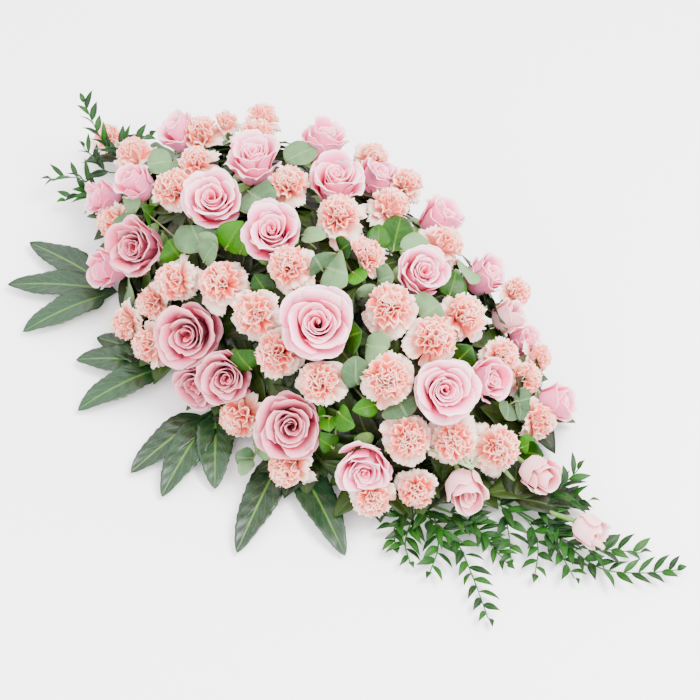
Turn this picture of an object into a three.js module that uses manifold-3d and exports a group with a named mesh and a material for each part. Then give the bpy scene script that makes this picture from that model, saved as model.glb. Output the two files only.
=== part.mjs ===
// A single-ended spray of roses, spray carnations and mixed foliage, stuck in wet foam in a tray.
// Millimetres, +Z up, +X along the spray towards its pointed end, origin under the middle of the tray.
import * as THREE from 'three';
import { mergeVertices } from 'three/addons/utils/BufferGeometryUtils.js';
import Module from 'manifold-3d';

const wasm = await Module();
wasm.setup();

// Tray and foam
const TRAY_LENGTH = 470;
const TRAY_WIDTH = 120;
const TRAY_HEIGHT = 40;
const TRAY_WALL = 2.4;
const TRAY_CORNER = 12;
const TRAY_LIP = 4;
const FOAM_TOP = 84;
const FIT_GAP = 0.3;

// The mound that the blooms' outer faces follow
const HEAD_X = -352;
const TAIL_X = 352;
const WIDEST_X = -60;
const HALF_WIDTH = 190;
const MOUND_FOOT = 25;
const MOUND_RISE = 194;
const HEAD_FULLNESS = 1.6;
const TAIL_FULLNESS = 4;
const CREST_FALL = 1.33;

// Stems, blades and clearances
const ROSE_STEM = 5;
const CARNATION_STEM = 3.6;
const LEAF_STEM = 3.2;
const KNOT_DEPTH = 20;
const BLADE = 0.7;
const HAND_BLADE = 0.9;
const BLOOM_INSET = 26;
const CELL_MARGIN = 0.85;
const SLIVER = 0.2;
const HAND_SLIVER = 0.01;
const FLOOR_CLEARANCE = 20;
const ROOT_PULL = new THREE.Vector3(0.64, 0.18, -0.06);
const ROOT_HEIGHT = 68;
const FORK_CLEARANCE = 7;
const FORK_SHARE = 0.5;

// The viewpoint of the columns and rows below, in a frame of 700 by 700
const VIEW_ELEVATION = 50;
const VIEW_AZIMUTH = 48;
const VIEW_DISTANCE = 2000;
const VIEW_FOCAL = 1818;
const VIEW_TARGET = new THREE.Vector3(81, -21, 60);
const VIEW_MIDDLE = 350;

// Roses: column, row, width, openness, lean to the right and up in the view, and lift towards the eye
const ROSES = [
  [182, 136, 56, 0.6, -0.45, 0.6, -14],
  [106, 198, 50, 0.5, -0.85, 0.1, 0],
  [137, 186, 52, 0.4, -0.55, 0.45, 0],
  [141, 248, 72, 0.9, -0.45, 0, 4],
  [113, 274, 56, 0.5, -0.8, -0.2, 0],
  [213, 203, 70, 1, -0.05, 0.3, 6],
  [254, 164, 66, 0.8, 0, 0.7, 0],
  [272, 234, 68, 0.9, 0, 0.25, 2],
  [322, 145, 58, 0.5, 0.35, 0.8, 0],
  [335, 185, 64, 0.9, 0.1, 0.6, 0],
  [374, 182, 60, 0.6, 0.45, 0.7, -4],
  [420, 275, 62, 0.7, 0.3, 0.25, 0],
  [437, 222, 56, 0.6, 0.65, 0.55, -4],
  [482, 278, 54, 0.5, 0.75, 0.4, 0],
  [507, 318, 44, 0.2, 0.7, 0.45, 0],
  [484, 380, 54, 0.6, 0.6, 0.05, 0],
  [443, 390, 74, 1, 0.1, 0, 8],
  [520, 343, 44, 0.4, 0.7, 0.3, -16],
  [553, 404, 48, 0.4, 0.85, 0.1, 0],
  [191, 334, 76, 1, -0.2, -0.15, 6],
  [227, 376, 66, 0.9, -0.05, -0.15, 2],
  [204, 394, 60, 0.8, -0.45, -0.35, -4],
  [291, 425, 76, 1, 0, -0.1, 6],
  [318, 325, 86, 1, 0, 0.1, 10],
  [366, 466, 64, 0.8, -0.1, -0.4, 4],
  [465, 488, 54, 0.15, 0.2, -0.65, 5],
  [537, 481, 50, 0.15, 0.45, -0.3, 0],
  [587, 537, 44, 0.1, 0.75, -0.5, 0],
];

// Carnation heads by cut stem: column, row, width, lift towards the eye, and where it differs, lean that way
const CARNATION_STEMS = [
  [[109, 143, 40, 0], [135, 156, 52, 2], [113, 223, 46, 0]],
  [[201, 136, 54, 2], [197, 162, 44, 6], [174, 190, 56, 2], [226, 124, 36, -10]],
  [[262, 120, 46, -12], [257, 137, 50, 2], [289, 185, 50, 0]],
  [[153, 303, 42, 0], [128, 329, 44, 0], [152, 349, 52, 2], [176, 281, 52, 0]],
  [[339, 217, 58, 4], [390, 208, 52, 0], [407, 185, 44, -8]],
  [[373, 159, 44, -12, 1.8]],
  [[364, 257, 52, 0], [390, 308, 60, 2], [387, 380, 62, 2]],
  [[290, 267, 56, 4], [256, 315, 58, 0], [277, 353, 56, 0], [221, 283, 58, 2]],
  [[443, 246, 52, 2], [462, 316, 56, 0], [433, 340, 60, 2], [516, 293, 40, -8]],
  [[501, 356, 44, 0], [524, 378, 44, 2], [535, 358, 42, -14], [537, 420, 48, 0]],
  [[241, 417, 56, 2], [290, 477, 54, 0], [320, 382, 54, 0]],
  [[408, 439, 56, 0], [453, 440, 54, 0], [497, 447, 56, 2]],
  [[417, 489, 46, 0], [372, 507, 50, 0]],
];

// Which cut stems meet in the foam and so make one body
const CARNATION_NODES = [[0, 1], [2, 5], [3], [4], [6], [7], [8], [9], [10], [11, 12]];

// Leaf clusters by cut stem, each leaf as base column and row, tip column and row, and width
const BROAD_STEMS = [
  [[[226, 250, 243, 221, 30], [240, 254, 250, 232, 18]], [[184, 262, 168, 240, 36], [150, 216, 138, 203, 26]],
    [[270, 296, 254, 274, 22]]],
  [[[392, 252, 402, 212, 27], [377, 250, 379, 224, 20]], [[340, 252, 352, 243, 22], [352, 272, 368, 286, 22]],
    [[448, 298, 456, 272, 26]], [[458, 360, 472, 346, 24]]],
  [[[326, 416, 300, 413, 18], [330, 418, 330, 432, 22], [334, 447, 313, 433, 22], [338, 412, 358, 426, 24]],
    [[378, 404, 352, 410, 17]], [[346, 338, 362, 332, 34]], [[252, 369, 236, 350, 34]]],
  [[[520, 448, 535, 439, 20, 6], [524, 452, 544, 456, 20]]],
];
const ROUND_STEMS = [
  [[[172, 162, 146, 166, 30], [168, 178, 183, 167, 26]], [[134, 214, 134, 180, 20], [134, 216, 113, 236, 20]],
    [[128, 287, 134, 308, 40]]],
  [[[248, 192, 271, 208, 40]], [[204, 250, 188, 218, 40], [206, 252, 216, 236, 26], [204, 262, 216, 244, 24]],
    [[286, 162, 316, 148, 28]]],
  [[[322, 270, 314, 256, 34], [326, 268, 356, 278, 42]], [[302, 236, 326, 237, 16]],
    [[378, 282, 394, 276, 34], [368, 300, 372, 284, 22]]],
  [[[400, 252, 432, 248, 30]], [[420, 318, 440, 304, 42]], [[464, 262, 470, 284, 26]]],
  [[[366, 346, 392, 348, 40], [356, 392, 356, 356, 28]], [[398, 400, 408, 418, 36]]],
  [[[506, 402, 506, 420, 24], [514, 402, 534, 397, 22], [518, 404, 519, 420, 14]]],
  [[[254, 457, 235, 456, 22], [254, 444, 277, 450, 22], [251, 460, 241, 476, 14]]],
];

// How much wider than it shows each kind is, as its neighbours hide its rim
const ROSE_SPREAD = 1.06;
const CARNATION_SPREAD = 1.14;
const LEAF_SPREAD = 1.25;

// How far each stem's root is moved along and across, to stand clear of its neighbours
const CARNATION_SHIFTS = CARNATION_NODES.map(() => [0, 0, 0]);
CARNATION_SHIFTS[1] = [-30, 7, 0];
CARNATION_SHIFTS[6] = [-12, 8, 0];
const BROAD_SHIFTS = [[0, 0, 0], [-5, -8, 0], [0, 0, 0], [0, 0, 0]];
const ROUND_SHIFTS = [[-12, 0, 0], [0, 0, 0], [-6, -6, 0], [8, 6, 0], [0, 0, 0], [12, 4, 0], [4, 0, 0]];
const CLUSTER_REACH = 22;
const CLUSTER_LIFT = -6;
const BROAD_WIDTHS = [0.95, 0.8];
const ROUND_WIDTHS = [0.9, 0.95];

// Leafy stems low along the far side, which hide the tray and foam: where along the spray each cluster is
const FLANK_STEMS = [
  { round: true, along: [-288, -240, -190, -140] },
  { round: false, along: [-80, -12, 58, 128] },
];
const FLANK_HEIGHT = 56;
const FLANK_INSET = 42;
const FLANK_REACH = 34;
const FLANK_LEAVES = 4;
const FLANK_KNOT = 9;
const FLANK_ROOT = 24;
const FLANK_FORK = 14;

// Hand-shaped leaves: the heart of each leaf and the tips of its lobes
const HAND_LEAVES = [
  { heart: [118, 292], tips: [[30, 243], [8, 285], [23, 332]], shift: 5 },
  { heart: [168, 366], tips: [[97, 338], [76, 360], [78, 410]], shift: 0 },
  { heart: [216, 408], tips: [[131, 473], [162, 496], [215, 488]], shift: 0 },
  { heart: [288, 446], tips: [[237, 552], [345, 555]], shift: 0 },
];
const LOBE_WIDTH = 42;
const LOBE_TEETH = 4;
const LOBE_FOLD = 0.2;
const LOBE_WAVE = 1.2;
const LOBE_GAP = 2;
const NOTCH_SHARE = 0.16;
const HAND_HEIGHT = 6;

// Soft ruscus: the foam end and fork of each cut stem, then its branches as columns, rows and heights
// above the table. Leaflets start at a branch's first point.
const RUSCUS_GROUPS = [
  { root: [-214, 10, 66], fork: [-250, 4, 58], lead: [-290, 6, 54], branches: [
    [[118, 158, 66], [102, 140, 88], [84, 103, 112]],
    [[106, 196, 20], [80, 178, 36], [52, 180, 34]],
  ] },
  { root: [206, -34, 62], fork: [250, -46, 44], lead: [256, -74, 12], branches: [
    [[424, 512, 11], [455, 540, 10], [470, 570, 8], [488, 618, 6]],
    [[412, 520, 11], [405, 545, 10], [410, 562, 8]],
    [[468, 520, 11], [486, 540, 9], [508, 564, 8]],
  ] },
  { root: [216, -14, 58], fork: [250, -10, 48], lead: [292, -14, 12], branches: [
    [[545, 527, 11], [600, 568, 9], [640, 573, 7], [677, 570, 6]],
    [[530, 524, 11], [538, 548, 10], [535, 574, 7]],
    [[560, 500, 12], [574, 500, 16], [588, 502, 18]],
  ] },
];
const TAIL_ROSE_BENDS = [[338, 6, 18], [252, 6, 47]];
const RUSCUS_STEM = 2.8;
const RUSCUS_JOINT = 30;
const LEAFLET_LENGTH = 30;
const LEAFLET_WIDTH = 8;
const LEAFLET_STEP = 16;

// Colours
const PINK = 0xe3a9bd;
const BLUSH = 0xe9c3c8;
const SALMON = 0xf3c2b8;
const LEAF_GREEN = 0x4f8a2c;
const GREY_GREEN = 0x9fb8a0;
const DEEP_GREEN = 0x2f5a3c;
const RUSCUS_GREEN = 0x2f7034;
const FOAM_GREEN = 0x24402c;
const TRAY_GREEN = 0x1d3a26;

const TURN = Math.PI * 2;
const vec = (x, y, z) => new THREE.Vector3(x, y, z);
const rad = THREE.MathUtils.degToRad;
const lerp = THREE.MathUtils.lerp;
const clamp = THREE.MathUtils.clamp;

// Steady random numbers from 0 to 1, the same on every run
function dice(seed) {
  let state = seed * 2654435761;
  return () => {
    state = (state + 0x6d2b79f5) | 0;
    let t = Math.imul(state ^ (state >>> 15), 1 | state);
    t = (t + Math.imul(t ^ (t >>> 7), 61 | t)) ^ t;
    return ((t ^ (t >>> 14)) >>> 0) / 4294967296;
  };
}

// The view's own directions and a ray through one of its columns and rows
const viewBack = vec(
  Math.sin(rad(VIEW_AZIMUTH)) * Math.cos(rad(VIEW_ELEVATION)),
  -Math.cos(rad(VIEW_AZIMUTH)) * Math.cos(rad(VIEW_ELEVATION)),
  Math.sin(rad(VIEW_ELEVATION)),
);
const viewRight = vec(Math.cos(rad(VIEW_AZIMUTH)), Math.sin(rad(VIEW_AZIMUTH)), 0);
const viewUp = viewBack.clone().cross(viewRight);
const viewEye = VIEW_TARGET.clone().addScaledVector(viewBack, VIEW_DISTANCE);

function rayThrough(column, row) {
  return viewBack.clone().negate()
    .addScaledVector(viewRight, (column - VIEW_MIDDLE) / VIEW_FOCAL)
    .addScaledVector(viewUp, (VIEW_MIDDLE - row) / VIEW_FOCAL)
    .normalize();
}

function atHeight(column, row, height) {
  const ray = rayThrough(column, row);
  return viewEye.clone().addScaledVector(ray, (height - viewEye.z) / ray.z);
}

// The mound's half width at x as a share of its widest, and how deep a point lies in the mound
function plump(x, inset) {
  const head = HEAD_X + inset;
  const tail = TAIL_X - inset;
  if (x < WIDEST_X) return Math.sqrt(Math.max(1 - ((WIDEST_X - x) / (WIDEST_X - head)) ** HEAD_FULLNESS, 0.002));
  return Math.max(1 - ((x - WIDEST_X) / (tail - WIDEST_X)) ** TAIL_FULLNESS, 0.05);
}

function moundDepth(p, inset) {
  const x = clamp(p.x, HEAD_X + inset + 1, TAIL_X - inset - 1);
  const share = plump(x, inset);
  const across = p.y / ((HALF_WIDTH - inset) * share);
  const above = (p.z - MOUND_FOOT) / (p.z > MOUND_FOOT ? (MOUND_RISE - inset) * share ** CREST_FALL : MOUND_FOOT);
  return across ** 2 + above ** 2 + ((p.x - x) / MOUND_FOOT) ** 2 - 1;
}

// Where the view's ray first meets the mound, which swells until the ray meets it
function onMound(column, row, inset) {
  const ray = rayThrough(column, row);
  const step = 2;
  const swelling = 4;
  for (let depth = inset; ; depth -= swelling) {
    for (let t = VIEW_DISTANCE - 500; t < VIEW_DISTANCE + 500; t += step) {
      const p = viewEye.clone().addScaledVector(ray, t);
      if (moundDepth(p, depth) < 0) return p;
    }
  }
}

function moundNormal(p, inset) {
  const e = 0.5;
  const slope = (axis) => {
    const q = p.clone().addScaledVector(axis, e);
    const r = p.clone().addScaledVector(axis, -e);
    return moundDepth(q, inset) - moundDepth(r, inset);
  };
  return vec(slope(vec(1, 0, 0)), slope(vec(0, 1, 0)), slope(vec(0, 0, 1))).normalize();
}

// Every bloom and leaf cluster is a site with a centre, a reach and the way that it faces
function facing(right, up) {
  return viewBack.clone().multiplyScalar(Math.sqrt(Math.max(1 - right ** 2 - up ** 2, 0.01)))
    .addScaledVector(viewRight, right)
    .addScaledVector(viewUp, up)
    .normalize();
}

function site(column, row, reach, lift, axis) {
  const centre = onMound(column, row, BLOOM_INSET);
  centre.addScaledVector(rayThrough(column, row), -lift);
  centre.z = Math.max(centre.z, FLOOR_CLEARANCE + reach * 0.8);
  const normal = moundNormal(centre, BLOOM_INSET);
  return { centre, reach, axis: axis || normal, normal, floor: FLOOR_CLEARANCE, planes: [] };
}

function flankSite(x) {
  const share = plump(x, FLANK_INSET);
  const rise = (FLANK_HEIGHT - MOUND_FOOT) / ((MOUND_RISE - FLANK_INSET) * share ** CREST_FALL);
  const centre = vec(x, (HALF_WIDTH - FLANK_INSET) * share * Math.sqrt(1 - rise ** 2), FLANK_HEIGHT);
  const normal = moundNormal(centre, FLANK_INSET);
  return { centre, reach: FLANK_REACH, axis: normal, normal, floor: HAND_HEIGHT, planes: [] };
}

const roseSites = ROSES.map(([column, row, width, open, right, up, lift]) => {
  const made = site(column, row, (width / 2) * ROSE_SPREAD, lift, facing(right, up));
  made.open = open;
  return made;
});
const carnationSites = CARNATION_STEMS.map((heads, k) => {
  const random = dice(100 + k);
  return heads.map(([column, row, width, lift, lean = 0.35]) => {
    const made = site(column, row, (width / 2) * CARNATION_SPREAD, lift);
    made.axis = made.normal.clone().addScaledVector(viewBack, lean)
      .add(vec(random() - 0.5, random() - 0.5, random() - 0.5).multiplyScalar(0.5))
      .normalize();
    return made;
  });
});
const clusterSite = (leaves) => {
  const middle = [0, 1].map((k) => leaves.reduce((sum, leaf) => sum + (leaf[k] + leaf[k + 2]) / 2, 0) / leaves.length);
  return site(middle[0], middle[1], CLUSTER_REACH, leaves[0][5] ?? CLUSTER_LIFT);
};
const broadSites = BROAD_STEMS.map((clusters) => clusters.map(clusterSite));
const roundSites = ROUND_STEMS.map((clusters) => clusters.map(clusterSite));
const flankSites = FLANK_STEMS.map(({ along }) => along.map(flankSite));

// Each site keeps to its own cell: flat walls midway to its neighbours, and one above the table
const allSites = [roseSites, carnationSites, broadSites, roundSites, flankSites].flat(2);
const LEAST_REACH = 7;
for (const a of allSites) {
  for (const b of allSites) {
    const across = b.centre.clone().sub(a.centre);
    const span = across.length();
    if (a === b || span > a.reach + b.reach + 40) continue;
    const wall = clamp((span ** 2 + a.reach ** 2 - b.reach ** 2) / (2 * span), LEAST_REACH, span - LEAST_REACH);
    a.planes.push([across.normalize(), wall - CELL_MARGIN]);
  }
  a.planes.push([vec(0, 0, -1), a.centre.z - a.floor]);
}

// Draws a point, given from the site's centre, smoothly inside the site's cell
function keptIn(cell, offset) {
  const sharpness = 8;
  const free = 0.82;
  let sum = 0;
  for (const [direction, wall] of cell.planes) sum += Math.max(offset.dot(direction) / wall, 0) ** sharpness;
  const fullness = sum ** (1 / sharpness);
  if (fullness <= free) return offset.clone();
  const held = free + (1 - free) * (1 - Math.exp(-(fullness - free) / (1 - free)));
  return offset.clone().multiplyScalar(held / fullness);
}

// Solids
function solidOf(positions, triangles) {
  const properties = (faces) => ({ numProp: 3, vertProperties: positions, triVerts: faces });
  const made = new wasm.Manifold(new wasm.Mesh(properties(triangles)));
  if (made.volume() >= 0) return made;
  const flipped = triangles.slice();
  for (let i = 0; i < flipped.length; i += 3) {
    flipped[i] = triangles[i + 1];
    flipped[i + 1] = triangles[i];
  }
  return new wasm.Manifold(new wasm.Mesh(properties(flipped)));
}

function fromGeometry(geometry) {
  geometry.deleteAttribute('normal');
  geometry.deleteAttribute('uv');
  const merged = mergeVertices(geometry, 1e-3);
  return solidOf(Float32Array.from(merged.attributes.position.array), Uint32Array.from(merged.index.array));
}

// One body from overlapping solids, without the slivers and scraps that joining leaves
function joined(solids, sliver = SLIVER) {
  const bodies = wasm.Manifold.union(solids).asOriginal().simplify(sliver).decompose();
  return bodies.reduce((most, body) => (body.volume() > most.volume() ? body : most));
}

// A round stem between two points
function stem(from, to, width, sides = 4) {
  const along = to.clone().sub(from);
  const geometry = new THREE.CylinderGeometry(width / 2, width / 2, along.length(), sides);
  geometry.translate(0, along.length() / 2, 0);
  geometry.applyQuaternion(new THREE.Quaternion().setFromUnitVectors(vec(0, 1, 0), along.normalize()));
  geometry.translate(from.x, from.y, from.z);
  return fromGeometry(geometry);
}

// The knuckle of a bend
function bead(centre, width) {
  const geometry = new THREE.SphereGeometry(width * 0.54, 6, 4);
  geometry.translate(centre.x, centre.y, centre.z);
  return fromGeometry(geometry);
}

// A turned form whose rows can be lobed: waves(row, column) gives a factor on radius and a rise
function turned(profile, sides, waves, place) {
  const geometry = new THREE.LatheGeometry(profile.map(([r, h]) => new THREE.Vector2(r, h)), sides);
  const position = geometry.attributes.position;
  const rows = profile.length;
  for (let k = 0; k < position.count; k++) {
    const row = k % rows;
    const column = Math.floor(k / rows) % sides;
    const [widen, rise] = waves(row, column);
    const angle = (column / sides) * TURN;
    const [radius, height] = profile[row];
    const p = place(vec(radius * widen * Math.sin(angle), height + rise, radius * widen * Math.cos(angle)));
    position.setXYZ(k, p.x, p.y, p.z);
  }
  return fromGeometry(geometry);
}

// A thin blade over one or more strips, each a list of rows of points on its middle surface.
// Strips join where they share a point, and both faces are split into the same triangles.
function blade(strips, thickness = BLADE) {
  const numbers = new Map();
  const numberOf = (point) => {
    if (!numbers.has(point)) numbers.set(point, numbers.size);
    return numbers.get(point);
  };
  const faces = [];
  for (const rows of strips) {
    for (let i = 0; i + 1 < rows.length; i++) {
      const near = (n) => numberOf(rows[i][Math.min(n, rows[i].length - 1)]);
      const far = (n) => numberOf(rows[i + 1][Math.min(n, rows[i + 1].length - 1)]);
      for (let j = 0; j + 1 < Math.max(rows[i].length, rows[i + 1].length); j++) {
        if (rows[i].length > 1) faces.push([near(j), near(j + 1), far(j)]);
        if (rows[i + 1].length > 1) faces.push([near(j + 1), far(j + 1), far(j)]);
      }
    }
  }
  const points = [...numbers.keys()];
  const count = points.length;
  const normals = points.map(() => vec(0, 0, 0));
  const edges = new Map();
  for (const [a, b, c] of faces) {
    const normal = points[b].clone().sub(points[a]).cross(points[c].clone().sub(points[a]));
    for (const [from, to] of [[a, b], [b, c], [c, a]]) {
      normals[from].add(normal);
      if (edges.has(to * count + from)) edges.delete(to * count + from);
      else edges.set(from * count + to, [from, to]);
    }
  }
  const positions = new Float32Array(count * 6);
  points.forEach((p, k) => {
    const half = normals[k].normalize().multiplyScalar(thickness / 2);
    p.clone().add(half).toArray(positions, k * 3);
    p.clone().sub(half).toArray(positions, (k + count) * 3);
  });
  const triangles = [];
  for (const [a, b, c] of faces) triangles.push(a, b, c, a + count, c + count, b + count);
  for (const [a, b] of edges.values()) triangles.push(a, a + count, b, b, a + count, b + count);
  return solidOf(positions, Uint32Array.from(triangles));
}

// A leaf from base to tip: widths are shares of its width at even steps between the two
function leafRows(base, tip, width, normal, widths, arch, fold) {
  const along = tip.clone().sub(base);
  const across = along.clone().cross(normal).normalize();
  const up = across.clone().cross(along).normalize();
  const rows = [[base.clone()]];
  widths.forEach((share, k) => {
    const t = (k + 1) / (widths.length + 1);
    const middle = base.clone().addScaledVector(along, t).addScaledVector(up, arch * 4 * t * (1 - t));
    const half = (width / 2) * share;
    rows.push([-1, 0, 1].map((side) => middle.clone()
      .addScaledVector(across, side * half)
      .addScaledVector(up, Math.abs(side) * half * fold)));
  });
  rows.push([tip.clone()]);
  return rows;
}

const group = new THREE.Group();

function addNode(name, solid, color, roughness, metalness = 0) {
  const { vertProperties, triVerts, numProp } = solid.getMesh();
  const positions = new Float32Array((vertProperties.length / numProp) * 3);
  for (let i = 0; i * numProp < vertProperties.length; i++) {
    positions.set(vertProperties.subarray(i * numProp, i * numProp + 3), i * 3);
  }
  const geometry = new THREE.BufferGeometry();
  geometry.setAttribute('position', new THREE.BufferAttribute(positions, 3));
  geometry.setIndex(new THREE.BufferAttribute(Uint32Array.from(triVerts), 1));
  geometry.computeVertexNormals();
  const mesh = new THREE.Mesh(geometry, new THREE.MeshStandardMaterial({ color, roughness, metalness }));
  mesh.name = name;
  group.add(mesh);
}

// Where a stem that serves a point ends in the foam
const foamRoot = (p) => p.clone().multiply(ROOT_PULL).add(vec(0, 0, ROOT_HEIGHT));
const holes = [];

function rootedStem(from, root, width) {
  holes.push([from, root, width]);
  return stem(from, root, width);
}

// A stem that bends at each point and is straight into the foam
function bentStem(points, root, width) {
  const parts = points.slice(1).map((point, k) => stem(points[k], point, width));
  parts.push(...points.slice(1).map((point) => bead(point, width)));
  return [...parts, rootedStem(points.at(-1), root, width)];
}

// A site's own directions, turned about its axis by a roll
function placer(cell, roll) {
  const side = cell.axis.clone().cross(vec(0.3, 0.2, 1)).normalize();
  side.applyAxisAngle(cell.axis, roll);
  const other = side.clone().cross(cell.axis);
  return (p) => {
    const offset = side.clone().multiplyScalar(p.x)
      .addScaledVector(cell.axis, p.y)
      .addScaledVector(other, p.z);
    return keptIn(cell, offset).add(cell.centre);
  };
}

// Rose: two whorls of petals round a pointed heart. Each whorl has five petals that part at notches,
// staggered against the whorl outside it, and a bud holds its petals in where an open bloom spreads them.
const ROSE_PETALS = 5;
const ROSE_OPEN = [
  [0, -0.5], [0.45, -0.04], [0.52, 0.18], [0.35, 0.06], [0.35, 0.38], [0.17, 0.18], [0, 0.5],
];
const ROSE_BUD = [
  [0, -0.5], [0.47, -0.06], [0.4, 0.3], [0.28, 0.2], [0.26, 0.46], [0.14, 0.34], [0, 0.52],
];
const ROSE_RIMS = [2, 4];

function rose(cell, index) {
  const random = dice(index + 1);
  const wide = cell.reach * 2;
  const tall = wide * lerp(1.12, 0.7, cell.open);
  const place = placer(cell, random() * TURN);
  const profile = ROSE_BUD.map(([radius, height], row) => [
    lerp(radius, ROSE_OPEN[row][0], cell.open) * wide,
    lerp(height, ROSE_OPEN[row][1], cell.open) * tall,
  ]);
  const sides = 2 * ROSE_PETALS;
  const waves = profile.map((unused, row) => Array.from({ length: sides }, (empty, column) => {
    const rim = ROSE_RIMS.indexOf(row);
    if (rim < 0) return [1, 0];
    const petal = (column + rim) % 2 === 0;
    return petal ? [1.02 + 0.08 * random(), 0.05 * tall * random()] : [0.86, -0.12 * tall];
  }));
  const head = turned(profile, sides, (row, column) => waves[row][column], place);
  const base = place(vec(0, -0.46 * tall, 0));
  const bends = index === ROSES.length - 1 ? TAIL_ROSE_BENDS.map((point) => vec(...point)) : [];
  const cane = bentStem([base, ...bends], foamRoot(bends.at(-1) || cell.centre), ROSE_STEM);
  const name = 'rose_' + String(index + 1).padStart(2, '0');
  addNode(name, joined([head, ...cane]), cell.open < 0.3 ? BLUSH : PINK, 0.6);
}

const meanOf = (points) => points.reduce((sum, p) => sum.add(p), vec(0, 0, 0)).divideScalar(points.length);

// Where the branches of a cut stem part: on the way to its root, clear of the foam
function forkOf(bases, root, share) {
  const middle = meanOf(bases);
  const away = (p) => Math.max(
    Math.abs(p.x) - TRAY_LENGTH / 2,
    Math.abs(p.y) - TRAY_WIDTH / 2,
    p.z - FOAM_TOP,
  );
  const clear = (fork) => bases.every((base) => [0.25, 0.5, 0.75, 1].every((along) => (
    away(base.clone().lerp(fork, along)) > FORK_CLEARANCE
  )));
  let t = share;
  while (t > -share && !clear(middle.clone().lerp(root, t))) t -= 0.02;
  return middle.lerp(root, t);
}

// Carnation head: three whorls of frilled petals on a calyx, whose neck tapers down to the fork
const CARNATION_FORM = [
  [0, -1.4], [0.06, -1.3], [0.2, -0.5], [0.98, -0.12], [0.56, 0.04], [0.84, 0.36], [0.38, 0.34], [0.46, 0.78],
  [0, 0.5],
];
const CARNATION_RIMS = [3, 5, 7];
const CARNATION_SIDES = 7;
const FOOT_ROWS = 2;

function carnationHead(cell, seed, fork, tip) {
  const random = dice(seed);
  const r = cell.reach;
  const place = placer(cell, random() * TURN);
  const waves = CARNATION_FORM.map((empty, row) => Array.from({ length: CARNATION_SIDES }, (unused, column) => {
    if (!CARNATION_RIMS.includes(row)) return [1, 0];
    const wave = (column + row) % 2 ? 1 : -1;
    return [1 + 0.1 * wave * (0.5 + random()), wave * r * 0.11 * (0.4 + random())];
  }));
  const profile = CARNATION_FORM.map(([radius, height]) => [radius * r, height * r]);
  const branch = new THREE.Quaternion().setFromUnitVectors(
    vec(0, 1, 0),
    place(vec(0, profile[FOOT_ROWS][1], 0)).sub(fork).normalize(),
  );
  const form = (p) => {
    if (p.y > profile[FOOT_ROWS][1] - 1) return place(p);
    if (Math.hypot(p.x, p.z) < 1e-3) return tip.clone();
    const ring = vec(p.x, 0, p.z).setLength(CARNATION_STEM * 0.42).applyQuaternion(branch);
    return ring.add(fork);
  };
  return turned(profile, CARNATION_SIDES, (row, column) => waves[row][column], form);
}

function carnationSpray(stems, index) {
  const centres = stems.map((k) => meanOf(carnationSites[k].map((cell) => cell.centre)));
  const root = foamRoot(meanOf(centres)).add(vec(...CARNATION_SHIFTS[index]));
  const solids = [];
  for (const k of stems) {
    const cells = carnationSites[k];
    const bases = cells.map((cell) => placer(cell, 0)(vec(0, -0.5 * cell.reach, 0)));
    const fork = forkOf(bases, root, FORK_SHARE);
    const into = root.clone().sub(fork).normalize().multiplyScalar(CARNATION_STEM * 0.6);
    const tip = fork.clone().add(into);
    solids.push(...cells.map((cell, n) => carnationHead(cell, 300 + k * 10 + n, fork, tip)));
    solids.push(rootedStem(fork.clone().addScaledVector(into, -0.8), root, CARNATION_STEM));
  }
  addNode('carnation_spray_' + String(index + 1).padStart(2, '0'), joined(solids), SALMON, 0.65);
}

// A leafy stem's branches, and the one stem that they share
function forked(knots, root, fork) {
  const past = (knot, next) => knot.clone().add(knot.clone().sub(next).setLength(LEAF_STEM / 2));
  if (knots.length === 1) return [rootedStem(past(knots[0], root), root, LEAF_STEM)];
  const branches = knots.map((knot) => stem(past(knot, fork), fork, LEAF_STEM * 0.85));
  return [...branches, rootedStem(fork.clone().lerp(root, -0.02), root, LEAF_STEM)];
}

// One leaf of a cluster, which narrows to a stalk at the knot below the blooms
function clusterLeaf(cell, knot, low, high, width, widths) {
  const normal = cell.normal.clone().addScaledVector(viewBack, 0.8);
  const rows = leafRows(low, high, width * LEAF_SPREAD, normal, widths, 3, 0.12);
  const kept = rows.slice(1).map((row) => row.map((p) => keptIn(cell, p).add(cell.centre)));
  return blade([[[knot.clone().lerp(kept[0][1], 0.02)], ...kept]]);
}

// Leafy stems between the blooms
function leafySpray(name, clusters, cells, widths, shift, color, roughness) {
  const solids = [];
  const knots = cells.map((cell, k) => {
    const knot = keptIn(cell, cell.normal.clone().multiplyScalar(-KNOT_DEPTH)).add(cell.centre);
    clusters[k].forEach(([baseColumn, baseRow, tipColumn, tipRow, width], n) => {
      const low = onMound(baseColumn, baseRow, BLOOM_INSET + 8 - n * 2).sub(cell.centre);
      const high = onMound(tipColumn, tipRow, BLOOM_INSET - 6 - n * 2).sub(cell.centre);
      solids.push(clusterLeaf(cell, knot, low, high, width, widths));
    });
    return knot;
  });
  const root = foamRoot(meanOf(knots)).add(vec(...shift));
  solids.push(...forked(knots, root, forkOf(knots, root, FORK_SHARE)));
  addNode(name, joined(solids), color, roughness);
}

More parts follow.
